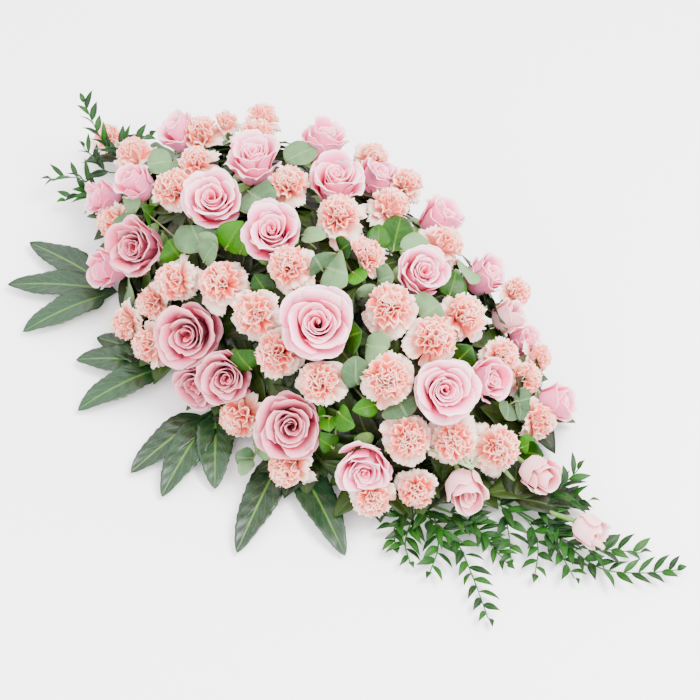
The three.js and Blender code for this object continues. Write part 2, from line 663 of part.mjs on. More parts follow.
// Leafy stems low along the far side: a fan of leaves at each knot, the stem into the foam's side
function flankSpray(spec, index) {
  const random = dice(800 + index);
  const cells = flankSites[index];
  const solids = [];
  const knots = cells.map((cell) => {
    const knot = keptIn(cell, cell.normal.clone().multiplyScalar(-FLANK_KNOT)).add(cell.centre);
    const across = vec(0, 0, 1).cross(cell.normal).normalize();
    const rising = cell.normal.clone().cross(across);
    for (let k = 0; k < FLANK_LEAVES; k++) {
      const angle = ((k + 0.5 * random()) / FLANK_LEAVES) * TURN;
      const out = across.clone().multiplyScalar(Math.cos(angle)).addScaledVector(rising, Math.sin(angle));
      const low = out.clone().multiplyScalar(6).addScaledVector(cell.normal, -2);
      const high = out.multiplyScalar(FLANK_REACH * 1.3).addScaledVector(cell.normal, 4 + 8 * random());
      const width = spec.round ? 34 : 24;
      solids.push(clusterLeaf(cell, knot, low, high, width, spec.round ? ROUND_WIDTHS : BROAD_WIDTHS));
    }
    return knot;
  });
  const middle = meanOf(knots);
  const root = vec(middle.x, TRAY_WIDTH / 2 - FLANK_ROOT, FLANK_HEIGHT);
  const fork = vec(middle.x, TRAY_WIDTH / 2 + FLANK_FORK, FLANK_HEIGHT);
  solids.push(...forked(knots, root, fork));
  if (spec.round) addNode('eucalyptus_spray_' + (ROUND_STEMS.length + 1 + index), joined(solids), GREY_GREEN, 0.7);
  else addNode('broad_leaf_spray_' + (BROAD_STEMS.length + 1), joined(solids), LEAF_GREEN, 0.4);
}

// Draws a lobe's rim point back to its own side of the line midway to the next lobe.
function keepAside(point, middle, heart, tip, nextTip) {
  const ours = tip.clone().sub(heart).normalize();
  const theirs = nextTip.clone().sub(heart).normalize();
  const away = ours.clone().add(theirs).cross(vec(0, 0, 1)).normalize();
  if (ours.dot(away) < 0) away.negate();
  const clear = (p) => p.clone().sub(heart).dot(away) - LOBE_GAP / 2;
  if (clear(point) < 0) point.lerp(middle, clear(point) / (clear(point) - clear(middle)));
}

// Hand-shaped leaf: toothed lobes from one heart, low over the table, on a stalk into the foam's side
function handLeaf(leaf, index) {
  const heart = atHeight(leaf.heart[0], leaf.heart[1], HAND_HEIGHT);
  const tips = leaf.tips.map(([column, row]) => atHeight(column, row, HAND_HEIGHT + 3));
  const between = (a, b) => heart.clone().lerp(a.clone().add(b).multiplyScalar(0.5), NOTCH_SHARE);
  const outer = (a, b) => heart.clone().lerp(a.clone().addScaledVector(b.clone().sub(a), -0.4), NOTCH_SHARE);
  const notches = [outer(tips[0], tips[1])];
  for (let k = 0; k + 1 < tips.length; k++) notches.push(between(tips[k], tips[k + 1]));
  notches.push(outer(tips[tips.length - 1], tips[tips.length - 2]));
  const strips = tips.map((tip, k) => {
    const count = LOBE_TEETH * 2 - 1;
    const widths = Array.from({ length: count }, (unused, n) => {
      const t = (n + 1) / (count + 1);
      return Math.sin(Math.PI * t ** 0.85) ** 0.65 * (n % 2 ? 0.86 : 1);
    });
    const rows = leafRows(heart, tip, LOBE_WIDTH, vec(0, 0, 1), widths, 6 + k, LOBE_FOLD);
    rows.slice(2, -1).forEach(([left, unused, right], n) => {
      left.z += LOBE_WAVE * (n % 2 ? 1 : -1);
      right.z += LOBE_WAVE * (n % 2 ? -1 : 1);
    });
    rows.slice(2, -1).forEach(([left, middle, right]) => {
      if (k + 1 < tips.length) keepAside(left, middle, heart, tip, tips[k + 1]);
      if (k > 0) keepAside(right, middle, heart, tip, tips[k - 1]);
    });
    const rib = rows[1][1];
    return [[heart], [notches[k + 1], rib, notches[k]], ...rows.slice(2)];
  });
  const side = Math.sign(heart.y);
  const along = heart.x * 0.85 + leaf.shift;
  const wall = vec(along, side * (TRAY_WIDTH / 2 + 12), HAND_HEIGHT + 4);
  const over = vec(along, side * (TRAY_WIDTH / 2 + 10), FOAM_TOP - 26);
  const root = vec(along, side * (TRAY_WIDTH / 2 - 26), FOAM_TOP - 30);
  const solids = [blade(strips, HAND_BLADE), stem(heart.clone().lerp(wall, -0.02), wall, LEAF_STEM)];
  solids.push(stem(wall, over, LEAF_STEM), rootedStem(over, root, LEAF_STEM));
  addNode('aralia_leaf_' + (index + 1), joined(solids, HAND_SLIVER), DEEP_GREEN, 0.45);
}

// Soft ruscus: bare-footed stems that fork by the foam and carry narrow pointed leaflets to their tips
function ruscusSpray(spec, index) {
  const random = dice(700 + index);
  const root = vec(...spec.root);
  const fork = vec(...spec.fork);
  const lead = vec(...spec.lead);
  const solids = [rootedStem(fork.clone().lerp(root, -0.03), root, LEAF_STEM)];
  for (const points of spec.branches) {
    const path = new THREE.CatmullRomCurve3([fork, lead, ...points.map((point) => atHeight(...point))]);
    const length = path.getLength();
    const steps = Math.ceil(length / RUSCUS_JOINT);
    const joints = path.getSpacedPoints(steps);
    const ring = new THREE.Shape(Array.from({ length: 3 }, (unused, k) => new THREE.Vector2(
      (RUSCUS_STEM / 2) * Math.cos((k * TURN) / 3),
      (RUSCUS_STEM / 2) * Math.sin((k * TURN) / 3),
    )));
    const tube = { extrudePath: path, steps, bevelEnabled: false };
    solids.push(fromGeometry(new THREE.ExtrudeGeometry(ring, tube)));
    const first = 2 / (points.length + 1);
    const bare = path.getLengths(200)[Math.round(first * 200)];
    const count = Math.floor((length - bare) / LEAFLET_STEP);
    for (let k = 0; k <= count; k++) {
      const t = ((bare + ((length - bare) * k) / count) / length) * steps;
      const joint = Math.min(Math.floor(t - 0.05), steps - 1);
      const foot = joints[joint].clone().lerp(joints[joint + 1], Math.min(t - joint, 0.95));
      const along = joints[joint + 1].clone().sub(joints[joint]).normalize();
      const last = k === count;
      const side = along.clone().cross(vec(0, 0, 1)).normalize().multiplyScalar(last ? 0 : k % 2 ? 0.9 : -0.9);
      const away = along.clone().add(side).add(vec(0, 0, 0.25 + 0.3 * random())).normalize();
      const tip = foot.clone().addScaledVector(away, LEAFLET_LENGTH * (0.8 + 0.3 * random()));
      const width = LEAFLET_WIDTH * (0.9 + 0.4 * random());
      solids.push(blade([leafRows(foot, tip, width, vec(0, 0, 1), [1], 0, 0.15)]));
    }
  }
  addNode('ruscus_spray_' + (index + 1), joined(solids), RUSCUS_GREEN, 0.5);
}

// An upright block with rounded corners, standing on a height
function slab(length, width, corner, low, high) {
  const x = length / 2;
  const y = width / 2;
  const outline = new THREE.Shape();
  outline.absarc(x - corner, y - corner, corner, 0, TURN / 4);
  outline.absarc(corner - x, y - corner, corner, TURN / 4, TURN / 2);
  outline.absarc(corner - x, corner - y, corner, TURN / 2, (TURN * 3) / 4);
  outline.absarc(x - corner, corner - y, corner, (TURN * 3) / 4, TURN);
  outline.closePath();
  const geometry = new THREE.ExtrudeGeometry(outline, { depth: high - low, bevelEnabled: false, curveSegments: 2 });
  geometry.translate(0, 0, low);
  return fromGeometry(geometry);
}

ROSES.forEach((unused, k) => rose(roseSites[k], k));
CARNATION_NODES.forEach(carnationSpray);
BROAD_STEMS.forEach((clusters, k) => {
  const name = 'broad_leaf_spray_' + (k + 1);
  leafySpray(name, clusters, broadSites[k], BROAD_WIDTHS, BROAD_SHIFTS[k], LEAF_GREEN, 0.4);
});
ROUND_STEMS.forEach((clusters, k) => {
  const name = 'eucalyptus_spray_' + (k + 1);
  leafySpray(name, clusters, roundSites[k], ROUND_WIDTHS, ROUND_SHIFTS[k], GREY_GREEN, 0.7);
});
FLANK_STEMS.forEach(flankSpray);
HAND_LEAVES.forEach(handLeaf);
RUSCUS_GROUPS.forEach(ruscusSpray);

// Tray: a shallow open box with a lip, its flat underside on the table
const lip = slab(TRAY_LENGTH + 2 * TRAY_LIP, TRAY_WIDTH + 2 * TRAY_LIP, TRAY_CORNER + TRAY_LIP, TRAY_HEIGHT - TRAY_WALL, TRAY_HEIGHT);
const inside = slab(
  TRAY_LENGTH - 2 * TRAY_WALL,
  TRAY_WIDTH - 2 * TRAY_WALL,
  TRAY_CORNER - TRAY_WALL,
  TRAY_WALL,
  TRAY_HEIGHT + TRAY_WALL,
);
const tray = slab(TRAY_LENGTH, TRAY_WIDTH, TRAY_CORNER, 0, TRAY_HEIGHT).add(lip).subtract(inside);
addNode('tray', tray, TRAY_GREEN, 0.5);

// Foam: a wet block that fills the tray, with a blind hole for every stem
const cutters = holes.map(([from, root, width]) => {
  const along = root.clone().sub(from).normalize();
  return stem(from, root.clone().addScaledVector(along, 2 * FIT_GAP), width + 2.4 * FIT_GAP);
});
const block = slab(
  TRAY_LENGTH - 2 * (TRAY_WALL + FIT_GAP),
  TRAY_WIDTH - 2 * (TRAY_WALL + FIT_GAP),
  TRAY_CORNER - TRAY_WALL - FIT_GAP,
  TRAY_WALL + FIT_GAP,
  FOAM_TOP,
);
addNode('foam_block', block.subtract(wasm.Manifold.union(cutters)), FOAM_GREEN, 0.9);

export default group;
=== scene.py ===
import math

import bpy
import numpy as np
from mathutils import Matrix


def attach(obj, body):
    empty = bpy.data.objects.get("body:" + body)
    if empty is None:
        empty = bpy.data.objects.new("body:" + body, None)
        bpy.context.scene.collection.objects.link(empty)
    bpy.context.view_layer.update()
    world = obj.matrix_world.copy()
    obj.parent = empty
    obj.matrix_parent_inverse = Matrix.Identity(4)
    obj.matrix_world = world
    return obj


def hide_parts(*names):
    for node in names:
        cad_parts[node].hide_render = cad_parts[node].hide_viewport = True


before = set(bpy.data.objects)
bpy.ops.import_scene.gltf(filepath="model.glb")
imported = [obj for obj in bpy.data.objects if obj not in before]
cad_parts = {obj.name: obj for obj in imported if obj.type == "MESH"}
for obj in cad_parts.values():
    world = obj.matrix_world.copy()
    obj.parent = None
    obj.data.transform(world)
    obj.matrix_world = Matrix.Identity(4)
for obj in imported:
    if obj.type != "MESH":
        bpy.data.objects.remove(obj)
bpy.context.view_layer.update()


# Tray. A shallow dark green plastic spray tray, vacuum formed, that holds the wet foam. It stands on
# the table on its flat underside and is all but hidden by the foliage. Its own CAD form is right.
class Value:
    """A value in a material: arithmetic on it adds the nodes that work it out."""

    def __init__(self, finish, socket):
        self.finish = finish
        self.socket = socket

    def worked(self, operation, first, second=0.0):
        return self.finish.node("ShaderNodeMath", {"operation": operation}, {0: first, 1: second})

    def __add__(self, other):
        return self.worked("ADD", self, other)

    def __sub__(self, other):
        return self.worked("SUBTRACT", self, other)

    def __rsub__(self, other):
        return self.worked("SUBTRACT", other, self)

    def __mul__(self, other):
        return self.worked("MULTIPLY", self, other)

    __radd__ = __add__
    __rmul__ = __mul__

    def sine(self):
        return self.worked("SINE", self)

    def size(self):
        return self.worked("ABSOLUTE", self)

    def between(self, low, high):
        """0 below low, 1 above high, and smooth from one to the other."""
        spread = {"interpolation_type": "SMOOTHSTEP"}
        return self.finish.node("ShaderNodeMapRange", spread, {0: self, 1: low, 2: high, 3: 0, 4: 1})


def tint(red, green, blue):
    """A colour as it looks on paper, 0 to 255 each, as the light that it sends back."""
    parts = [c / 255 for c in (red, green, blue)]
    return [c / 12.92 if c <= 0.04045 else ((c + 0.055) / 1.055) ** 2.4 for c in parts] + [1.0]


class Finish:
    """One material, whose nodes are added as they are named."""

    def __init__(self, name):
        self.material = bpy.data.materials.new(name)
        self.material.use_nodes = True
        self.tree = self.material.node_tree
        self.shader = self.tree.nodes["Principled BSDF"]

    def node(self, kind, settings, sockets, output=0):
        """A node of a kind with its settings, and the values or links of its sockets."""
        made = self.tree.nodes.new(kind)
        for key, setting in settings.items():
            setattr(made, key, setting)
        for key, value in sockets.items():
            self.put(made, key, value)
        return Value(self, made.outputs[output])

    def put(self, made, key, value):
        if isinstance(value, Value):
            self.tree.links.new(value.socket, made.inputs[key])
        else:
            made.inputs[key].default_value = value

    def measure(self, name):
        """A number that the mesh carries at each point."""
        return self.node("ShaderNodeAttribute", {"attribute_name": name}, {}, 2)

    def blend(self, share, first, second):
        """Two colours mixed; they are the node's sockets 6 and 7, and the mix is its output 2."""
        pair = [c if isinstance(c, Value) else tint(*c) for c in (first, second)]
        return self.node("ShaderNodeMix", {"data_type": "RGBA"}, {0: share, 6: pair[0], 7: pair[1]}, 2)

    def grain(self, vector, scale, detail=2.0):
        return self.node("ShaderNodeTexNoise", {}, {"Vector": vector, "Scale": scale, "Detail": detail})

    def place(self):
        """The point on the piece, in the piece's own coordinates."""
        return self.node("ShaderNodeTexCoord", {}, {}, 3)

    def vector(self, x, y, z):
        return self.node("ShaderNodeCombineXYZ", {}, {0: x, 1: y, 2: z})

    def surface(self, values, height=None, strength=0.3, distance=0.0005):
        """The shader's values, and a relief whose height is given in metres."""
        for key, value in values.items():
            self.put(self.shader, key, value)
        if height is not None:
            sockets = {"Height": height, "Strength": strength, "Distance": distance}
            self.put(self.shader, "Normal", self.node("ShaderNodeBump", {}, sockets))
        return self.material


plastic = Finish("tray_plastic")
scuff = plastic.grain(plastic.place(), 60.0, 4.0)
plastic_green = plastic.blend(scuff, (24, 46, 32), (34, 60, 42))
plastic.surface({"Base Color": plastic_green, "Roughness": 0.38 + 0.2 * scuff}, scuff, 0.15)
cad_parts["tray"].material_slots[0].material = plastic.material


# Foam. One block of wet floral foam, phenolic and fine-celled, cut to fill the tray. Every stem is
# pushed into it, which leaves blind holes. Soaked, it is dark green and slightly shiny; its very dark,
# mottled green is also painted shade, so that it passes for the shadow and foliage in the gaps between
# blooms.
wet_foam = Finish("wet_foam")
cut_face = {"Vector": wet_foam.place(), "Scale": 700.0}
pores = wet_foam.node("ShaderNodeTexVoronoi", {"feature": "F1"}, cut_face)
# Mottle: damp patches, and painted shade and foliage for the gaps
damp_and_shade_mottle = wet_foam.grain(wet_foam.place(), 25.0, 3.0)
foam_green = wet_foam.blend(damp_and_shade_mottle, (20, 38, 26), (38, 62, 42))
wet_foam.surface({"Base Color": foam_green, "Roughness": 0.95 - 0.25 * damp_and_shade_mottle}, pores, 0.6, 0.001)
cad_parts["foam_block"].material_slots[0].material = wet_foam.material


# Mound. The flowers stand as one low mound, full and round at its head and pointed at its tail. A florist
# sticks each bloom and leafy tip at its own place on it, and each keeps a cell of room there, whose walls
# stand midway to its neighbours'. Sizes are in millimetres.
MM = 0.001
TURN = math.tau
HEAD_X = -352
TAIL_X = 352
WIDEST_X = -60
HALF_WIDTH = 190
MOUND_FOOT = 25
MOUND_RISE = 194
HEAD_FULLNESS = 1.6
TAIL_FULLNESS = 4
CREST_FALL = 1.33
BLOOM_INSET = 26
CELL_MARGIN = 0.85
LEAST_REACH = 7
NEIGHBOUR_GAP = 40
FREE_SHARE = 0.82
WALL_POWER = 8
FLOOR_CLEARANCE = 20
HAND_HEIGHT = 6

# The photograph's own side: its ray through a column and row is where a bloom stands
VIEW_DISTANCE = 2000
VIEW_FOCAL = 1818
VIEW_MIDDLE = 350
VIEW_DEPTH = 500
VIEW_TARGET = np.array([81.0, -21.0, 60.0])
view_elevation = math.radians(50)
view_azimuth = math.radians(48)
view_back = np.array([
    math.sin(view_azimuth) * math.cos(view_elevation),
    -math.cos(view_azimuth) * math.cos(view_elevation),
    math.sin(view_elevation),
])
view_right = np.array([math.cos(view_azimuth), math.sin(view_azimuth), 0.0])
view_up = np.cross(view_back, view_right)
view_eye = VIEW_TARGET + view_back * VIEW_DISTANCE

# Column, row and width in the photo's frame, openness, lean to its right and up, lift to the eye
ROSES = [
    (182, 136, 56, 0.6, -0.45, 0.6, -14), (106, 198, 50, 0.5, -0.85, 0.1, 0),
    (137, 186, 52, 0.4, -0.55, 0.45, 0),
    (141, 248, 72, 0.9, -0.45, 0, 4), (113, 274, 56, 0.5, -0.8, -0.2, 0), (213, 203, 70, 1, -0.05, 0.3, 6),
    (254, 164, 66, 0.8, 0, 0.7, 0), (272, 234, 68, 0.9, 0, 0.25, 2), (322, 145, 58, 0.5, 0.35, 0.8, 0),
    (335, 185, 64, 0.9, 0.1, 0.6, 0), (374, 182, 60, 0.6, 0.45, 0.7, -4), (420, 275, 62, 0.7, 0.3, 0.25, 0),
    (437, 222, 56, 0.6, 0.65, 0.55, -4), (482, 278, 54, 0.5, 0.75, 0.4, 0),
    (507, 318, 44, 0.2, 0.7, 0.45, 0),
    (484, 380, 54, 0.6, 0.6, 0.05, 0), (443, 390, 74, 1, 0.1, 0, 8), (520, 343, 44, 0.4, 0.7, 0.3, -16),
    (553, 404, 48, 0.4, 0.85, 0.1, 0), (191, 334, 76, 1, -0.2, -0.15, 6),
    (227, 376, 66, 0.9, -0.05, -0.15, 2),
    (204, 394, 60, 0.8, -0.45, -0.35, -4), (291, 425, 76, 1, 0, -0.1, 6), (318, 325, 86, 1, 0, 0.1, 10),
    (366, 466, 64, 0.8, -0.1, -0.4, 4), (465, 488, 54, 0.15, 0.2, -0.65, 5),
    (537, 481, 50, 0.15, 0.45, -0.3, 0),
    (587, 537, 44, 0.1, 0.75, -0.5, 0),
]
ROSE_SPREAD = 1.06

# Column, row, width, lift to the eye, and where it differs, lean to the eye, of each carnation head
CARNATION_SPREAD = 1.14
HEAD_LEAN = 0.35
CARNATION_STEMS = [
    [(109, 143, 40, 0), (135, 156, 52, 2), (113, 223, 46, 0)],
    [(201, 136, 54, 2), (197, 162, 44, 6), (174, 190, 56, 2), (226, 124, 36, -10)],
    [(262, 120, 46, -12), (257, 137, 50, 2), (289, 185, 50, 0)],
    [(153, 303, 42, 0), (128, 329, 44, 0), (152, 349, 52, 2), (176, 281, 52, 0)],
    [(339, 217, 58, 4), (390, 208, 52, 0), (407, 185, 44, -8)],
    [(373, 159, 44, -12, 1.8)],
    [(364, 257, 52, 0), (390, 308, 60, 2), (387, 380, 62, 2)],
    [(290, 267, 56, 4), (256, 315, 58, 0), (277, 353, 56, 0), (221, 283, 58, 2)],
    [(443, 246, 52, 2), (462, 316, 56, 0), (433, 340, 60, 2), (516, 293, 40, -8)],
    [(501, 356, 44, 0), (524, 378, 44, 2), (535, 358, 42, -14), (537, 420, 48, 0)],
    [(241, 417, 56, 2), (290, 477, 54, 0), (320, 382, 54, 0)],
    [(408, 439, 56, 0), (453, 440, 54, 0), (497, 447, 56, 2)],
    [(417, 489, 46, 0), (372, 507, 50, 0)],
]

# Base column and row, tip column and row, and width of each leaf, by cut stem and by cluster
BROAD_STEMS = [
    [[(226, 250, 243, 221, 30), (240, 254, 250, 232, 18)],
     [(184, 262, 168, 240, 36), (150, 216, 138, 203, 26)],
     [(270, 296, 254, 274, 22)]],
    [[(392, 252, 402, 212, 27), (377, 250, 379, 224, 20)],
     [(340, 252, 352, 243, 22), (352, 272, 368, 286, 22)],
     [(448, 298, 456, 272, 26)], [(458, 360, 472, 346, 24)]],
    [[(326, 416, 300, 413, 18), (330, 418, 330, 432, 22), (334, 447, 313, 433, 22),
      (338, 412, 358, 426, 24)],
     [(378, 404, 352, 410, 17)], [(346, 338, 362, 332, 34)], [(252, 369, 236, 350, 34)]],
    [[(520, 448, 535, 439, 20, 6), (524, 452, 544, 456, 20)]],
]
ROUND_STEMS = [
    [[(172, 162, 146, 166, 30), (168, 178, 183, 167, 26)],
     [(134, 214, 134, 180, 20), (134, 216, 113, 236, 20)],
     [(128, 287, 134, 308, 40)]],
    [[(248, 192, 271, 208, 40)],
     [(204, 250, 188, 218, 40), (206, 252, 216, 236, 26), (204, 262, 216, 244, 24)],
     [(286, 162, 316, 148, 28)]],
    [[(322, 270, 314, 256, 34), (326, 268, 356, 278, 42)], [(302, 236, 326, 237, 16)],
     [(378, 282, 394, 276, 34), (368, 300, 372, 284, 22)]],
    [[(400, 252, 432, 248, 30)], [(420, 318, 440, 304, 42)], [(464, 262, 470, 284, 26)]],
    [[(366, 346, 392, 348, 40), (356, 392, 356, 356, 28)], [(398, 400, 408, 418, 36)]],
    [[(506, 402, 506, 420, 24), (514, 402, 534, 397, 22), (518, 404, 519, 420, 14)]],
    [[(254, 457, 235, 456, 22), (254, 444, 277, 450, 22), (251, 460, 241, 476, 14)]],
]
CLUSTER_REACH = 22
CLUSTER_LIFT = -6

# Where the knots of the two leafy stems along the far side stand, from the head end on
FLANK_STEMS = [(-288, -240, -190, -140), (-80, -12, 58, 128)]
FLANK_HEIGHT = 56
FLANK_INSET = 42
FLANK_REACH = 34


def unit(v):
    return v / np.linalg.norm(v, axis=-1, keepdims=True)


def swung(first, second, angle):
    """The way first, swung by an angle towards second."""
    return first * math.cos(angle) + second * math.sin(angle)


def lerp(a, b, t):
    """From a, where t is 0, to b, where it is 1."""
    return a + (b - a) * t


def smooth(t):
    """From 0 to 1, level at both ends."""
    t = np.clip(t, 0.0, 1.0)
    return t * t * (3 - 2 * t)


def dice(seed):
    """Steady random numbers from 0 to 1, the same for a seed each time."""
    whole = 0xFFFFFFFF
    state = [(seed * 2654435761) & whole]

    def roll():
        state[0] = (state[0] + 0x6D2B79F5) & whole
        s = state[0]
        t = ((s ^ (s >> 15)) * (1 | s)) & whole
        t = ((t + (((t ^ (t >> 7)) * (61 | t)) & whole)) & whole) ^ t
        return ((t ^ (t >> 14)) & whole) / 4294967296

    return roll


def several(chance, count):
    return np.array([chance() for unused in range(count)])


def ray_through(column, row):
    """The way that the photo's ray through a point of its frame goes."""
    shift = view_right * (column - VIEW_MIDDLE) + view_up * (VIEW_MIDDLE - row)
    return unit(shift / VIEW_FOCAL - view_back)


def at_height(column, row, height):
    """Where that ray is at a height over the table."""
    ray = ray_through(column, row)
    return view_eye + ray * ((height - view_eye[2]) / ray[2])


def plump(x, inset):
    """The mound's half width at x, as a share of its widest."""
    head = HEAD_X + inset
    tail = TAIL_X - inset
    fore = np.clip((WIDEST_X - x) / (WIDEST_X - head), 0.0, None) ** HEAD_FULLNESS
    aft = np.clip((x - WIDEST_X) / (tail - WIDEST_X), 0.0, None) ** TAIL_FULLNESS
    return np.where(x < WIDEST_X, np.sqrt(np.maximum(1 - fore, 0.002)), np.maximum(1 - aft, 0.05))


def mound_depth(p, inset):
    """Below 0 inside the mound that the blooms' faces follow."""
    x = np.clip(p[..., 0], HEAD_X + inset + 1, TAIL_X - inset - 1)
    share = plump(x, inset)
    across = p[..., 1] / ((HALF_WIDTH - inset) * share)
    rise = np.where(p[..., 2] > MOUND_FOOT, (MOUND_RISE - inset) * share ** CREST_FALL, MOUND_FOOT)
    return across ** 2 + ((p[..., 2] - MOUND_FOOT) / rise) ** 2 + ((p[..., 0] - x) / MOUND_FOOT) ** 2 - 1


def on_mound(column, row, inset):
    """Where the photo's ray first meets the mound, which swells until the ray meets it."""
    ray = ray_through(column, row)
    line = view_eye + ray * np.arange(VIEW_DISTANCE - VIEW_DEPTH, VIEW_DISTANCE + VIEW_DEPTH, 2.0)[:, None]
    depth = inset
    while True:
        inside = mound_depth(line, depth) < 0
        if inside.any():
            return line[inside.argmax()]
        depth -= 4


def mound_normal(p, inset):
    """The way out of the mound at p."""
    steps = np.eye(3) * 0.5
    return unit(mound_depth(p + steps, inset) - mound_depth(p - steps, inset))


class Cell:
    """The room of one bloom or leaf cluster, with flat walls midway to its neighbours."""

    def __init__(self, centre, reach, axis, normal, floor):
        self.centre = centre
        self.reach = reach
        self.axis = axis
        self.normal = normal
        self.floor = floor
        self.ways = []
        self.walls = []

    def kept(self, offsets, room=1.0):
        """Draws points, given from the centre, smoothly inside the cell, or room times its walls."""
        walls = np.array([*(wall * room for wall in self.walls[:-1]), self.walls[-1]])
        ratios = np.maximum(offsets @ np.array(self.ways).T / walls, 0.0)
        fullness = np.maximum((ratios ** WALL_POWER).sum(-1) ** (1 / WALL_POWER), 1e-6)
        rest = 1 - FREE_SHARE
        held = FREE_SHARE + rest * (1 - np.exp(-(fullness - FREE_SHARE) / rest))
        scale = np.where(fullness > FREE_SHARE, held / fullness, 1.0)
        return offsets * scale[..., None]

    def placed(self, offsets, roll, room=1.0):
        """Points given as side, axis and other side from the centre, put in place and kept in."""
        side = unit(np.cross(self.axis, (0.3, 0.2, 1.0)))
        side = swung(side, np.cross(self.axis, side), roll)
        other = np.cross(side, self.axis)
        turned = offsets[..., :1] * side + offsets[..., 1:2] * self.axis + offsets[..., 2:] * other
        return self.kept(turned, room) + self.centre


def cell_at(column, row, reach, lift, axis=None):
    """The cell of what the photo shows at a column and row, with its face on the mound."""
    centre = on_mound(column, row, BLOOM_INSET) - ray_through(column, row) * lift
    centre[2] = max(centre[2], FLOOR_CLEARANCE + reach * 0.8)
    normal = mound_normal(centre, BLOOM_INSET)
    return Cell(centre, reach, normal if axis is None else axis, normal, FLOOR_CLEARANCE)


def cluster_cell(leaves):
    """The cell of a cluster of leaves, in the middle of their bases and tips."""
    middles = [sum(leaf[k] + leaf[k + 2] for leaf in leaves) / 2 / len(leaves) for k in (0, 1)]
    lift = leaves[0][5] if len(leaves[0]) > 5 else CLUSTER_LIFT
    return cell_at(middles[0], middles[1], CLUSTER_REACH, lift)


def flank_cell(x):
    """The cell of a knot of leaves low on the far side."""
    share = float(plump(np.array(x), FLANK_INSET))
    rise = (FLANK_HEIGHT - MOUND_FOOT) / ((MOUND_RISE - FLANK_INSET) * share ** CREST_FALL)
    centre = np.array([x, (HALF_WIDTH - FLANK_INSET) * share * math.sqrt(1 - rise ** 2), FLANK_HEIGHT])
    normal = mound_normal(centre, FLANK_INSET)
    return Cell(centre, FLANK_REACH, normal, normal, HAND_HEIGHT)


rose_cells = []
for column, row, width, openness, right, up, lift in ROSES:
    towards = math.sqrt(max(1 - right ** 2 - up ** 2, 0.01))
    facing = unit(view_back * towards + view_right * right + view_up * up)
    rose_cells.append(cell_at(column, row, width / 2 * ROSE_SPREAD, lift, facing))
carnation_cells = []
for k, heads in enumerate(CARNATION_STEMS):
    roll = dice(100 + k)
    group = []
    for column, row, width, lift, *lean in heads:
        cell = cell_at(column, row, width / 2 * CARNATION_SPREAD, lift)
        stray = (several(roll, 3) - 0.5) * 0.5
        cell.axis = unit(cell.normal + view_back * (lean[0] if lean else HEAD_LEAN) + stray)
        group.append(cell)
    carnation_cells.append(group)
broad_cells = [[cluster_cell(leaves) for leaves in clusters] for clusters in BROAD_STEMS]
round_cells = [[cluster_cell(leaves) for leaves in clusters] for clusters in ROUND_STEMS]
flank_cells = [[flank_cell(x) for x in knots] for knots in FLANK_STEMS]
every_group = [rose_cells, *carnation_cells, *broad_cells, *round_cells, *flank_cells]
every_cell = [cell for group in every_group for cell in group]
for a in every_cell:
    for b in every_cell:
        across = b.centre - a.centre
        span = float(np.linalg.norm(across))
        if a is b or span > a.reach + b.reach + NEIGHBOUR_GAP:
            continue
        wall = max((span ** 2 + a.reach ** 2 - b.reach ** 2) / (2 * span), LEAST_REACH)
        wall = min(wall, span - LEAST_REACH)
        a.ways.append(across / span)
        a.walls.append(wall - CELL_MARGIN)
    a.ways.append(np.array([0.0, 0.0, -1.0]))
    a.walls.append(a.centre[2] - a.floor)


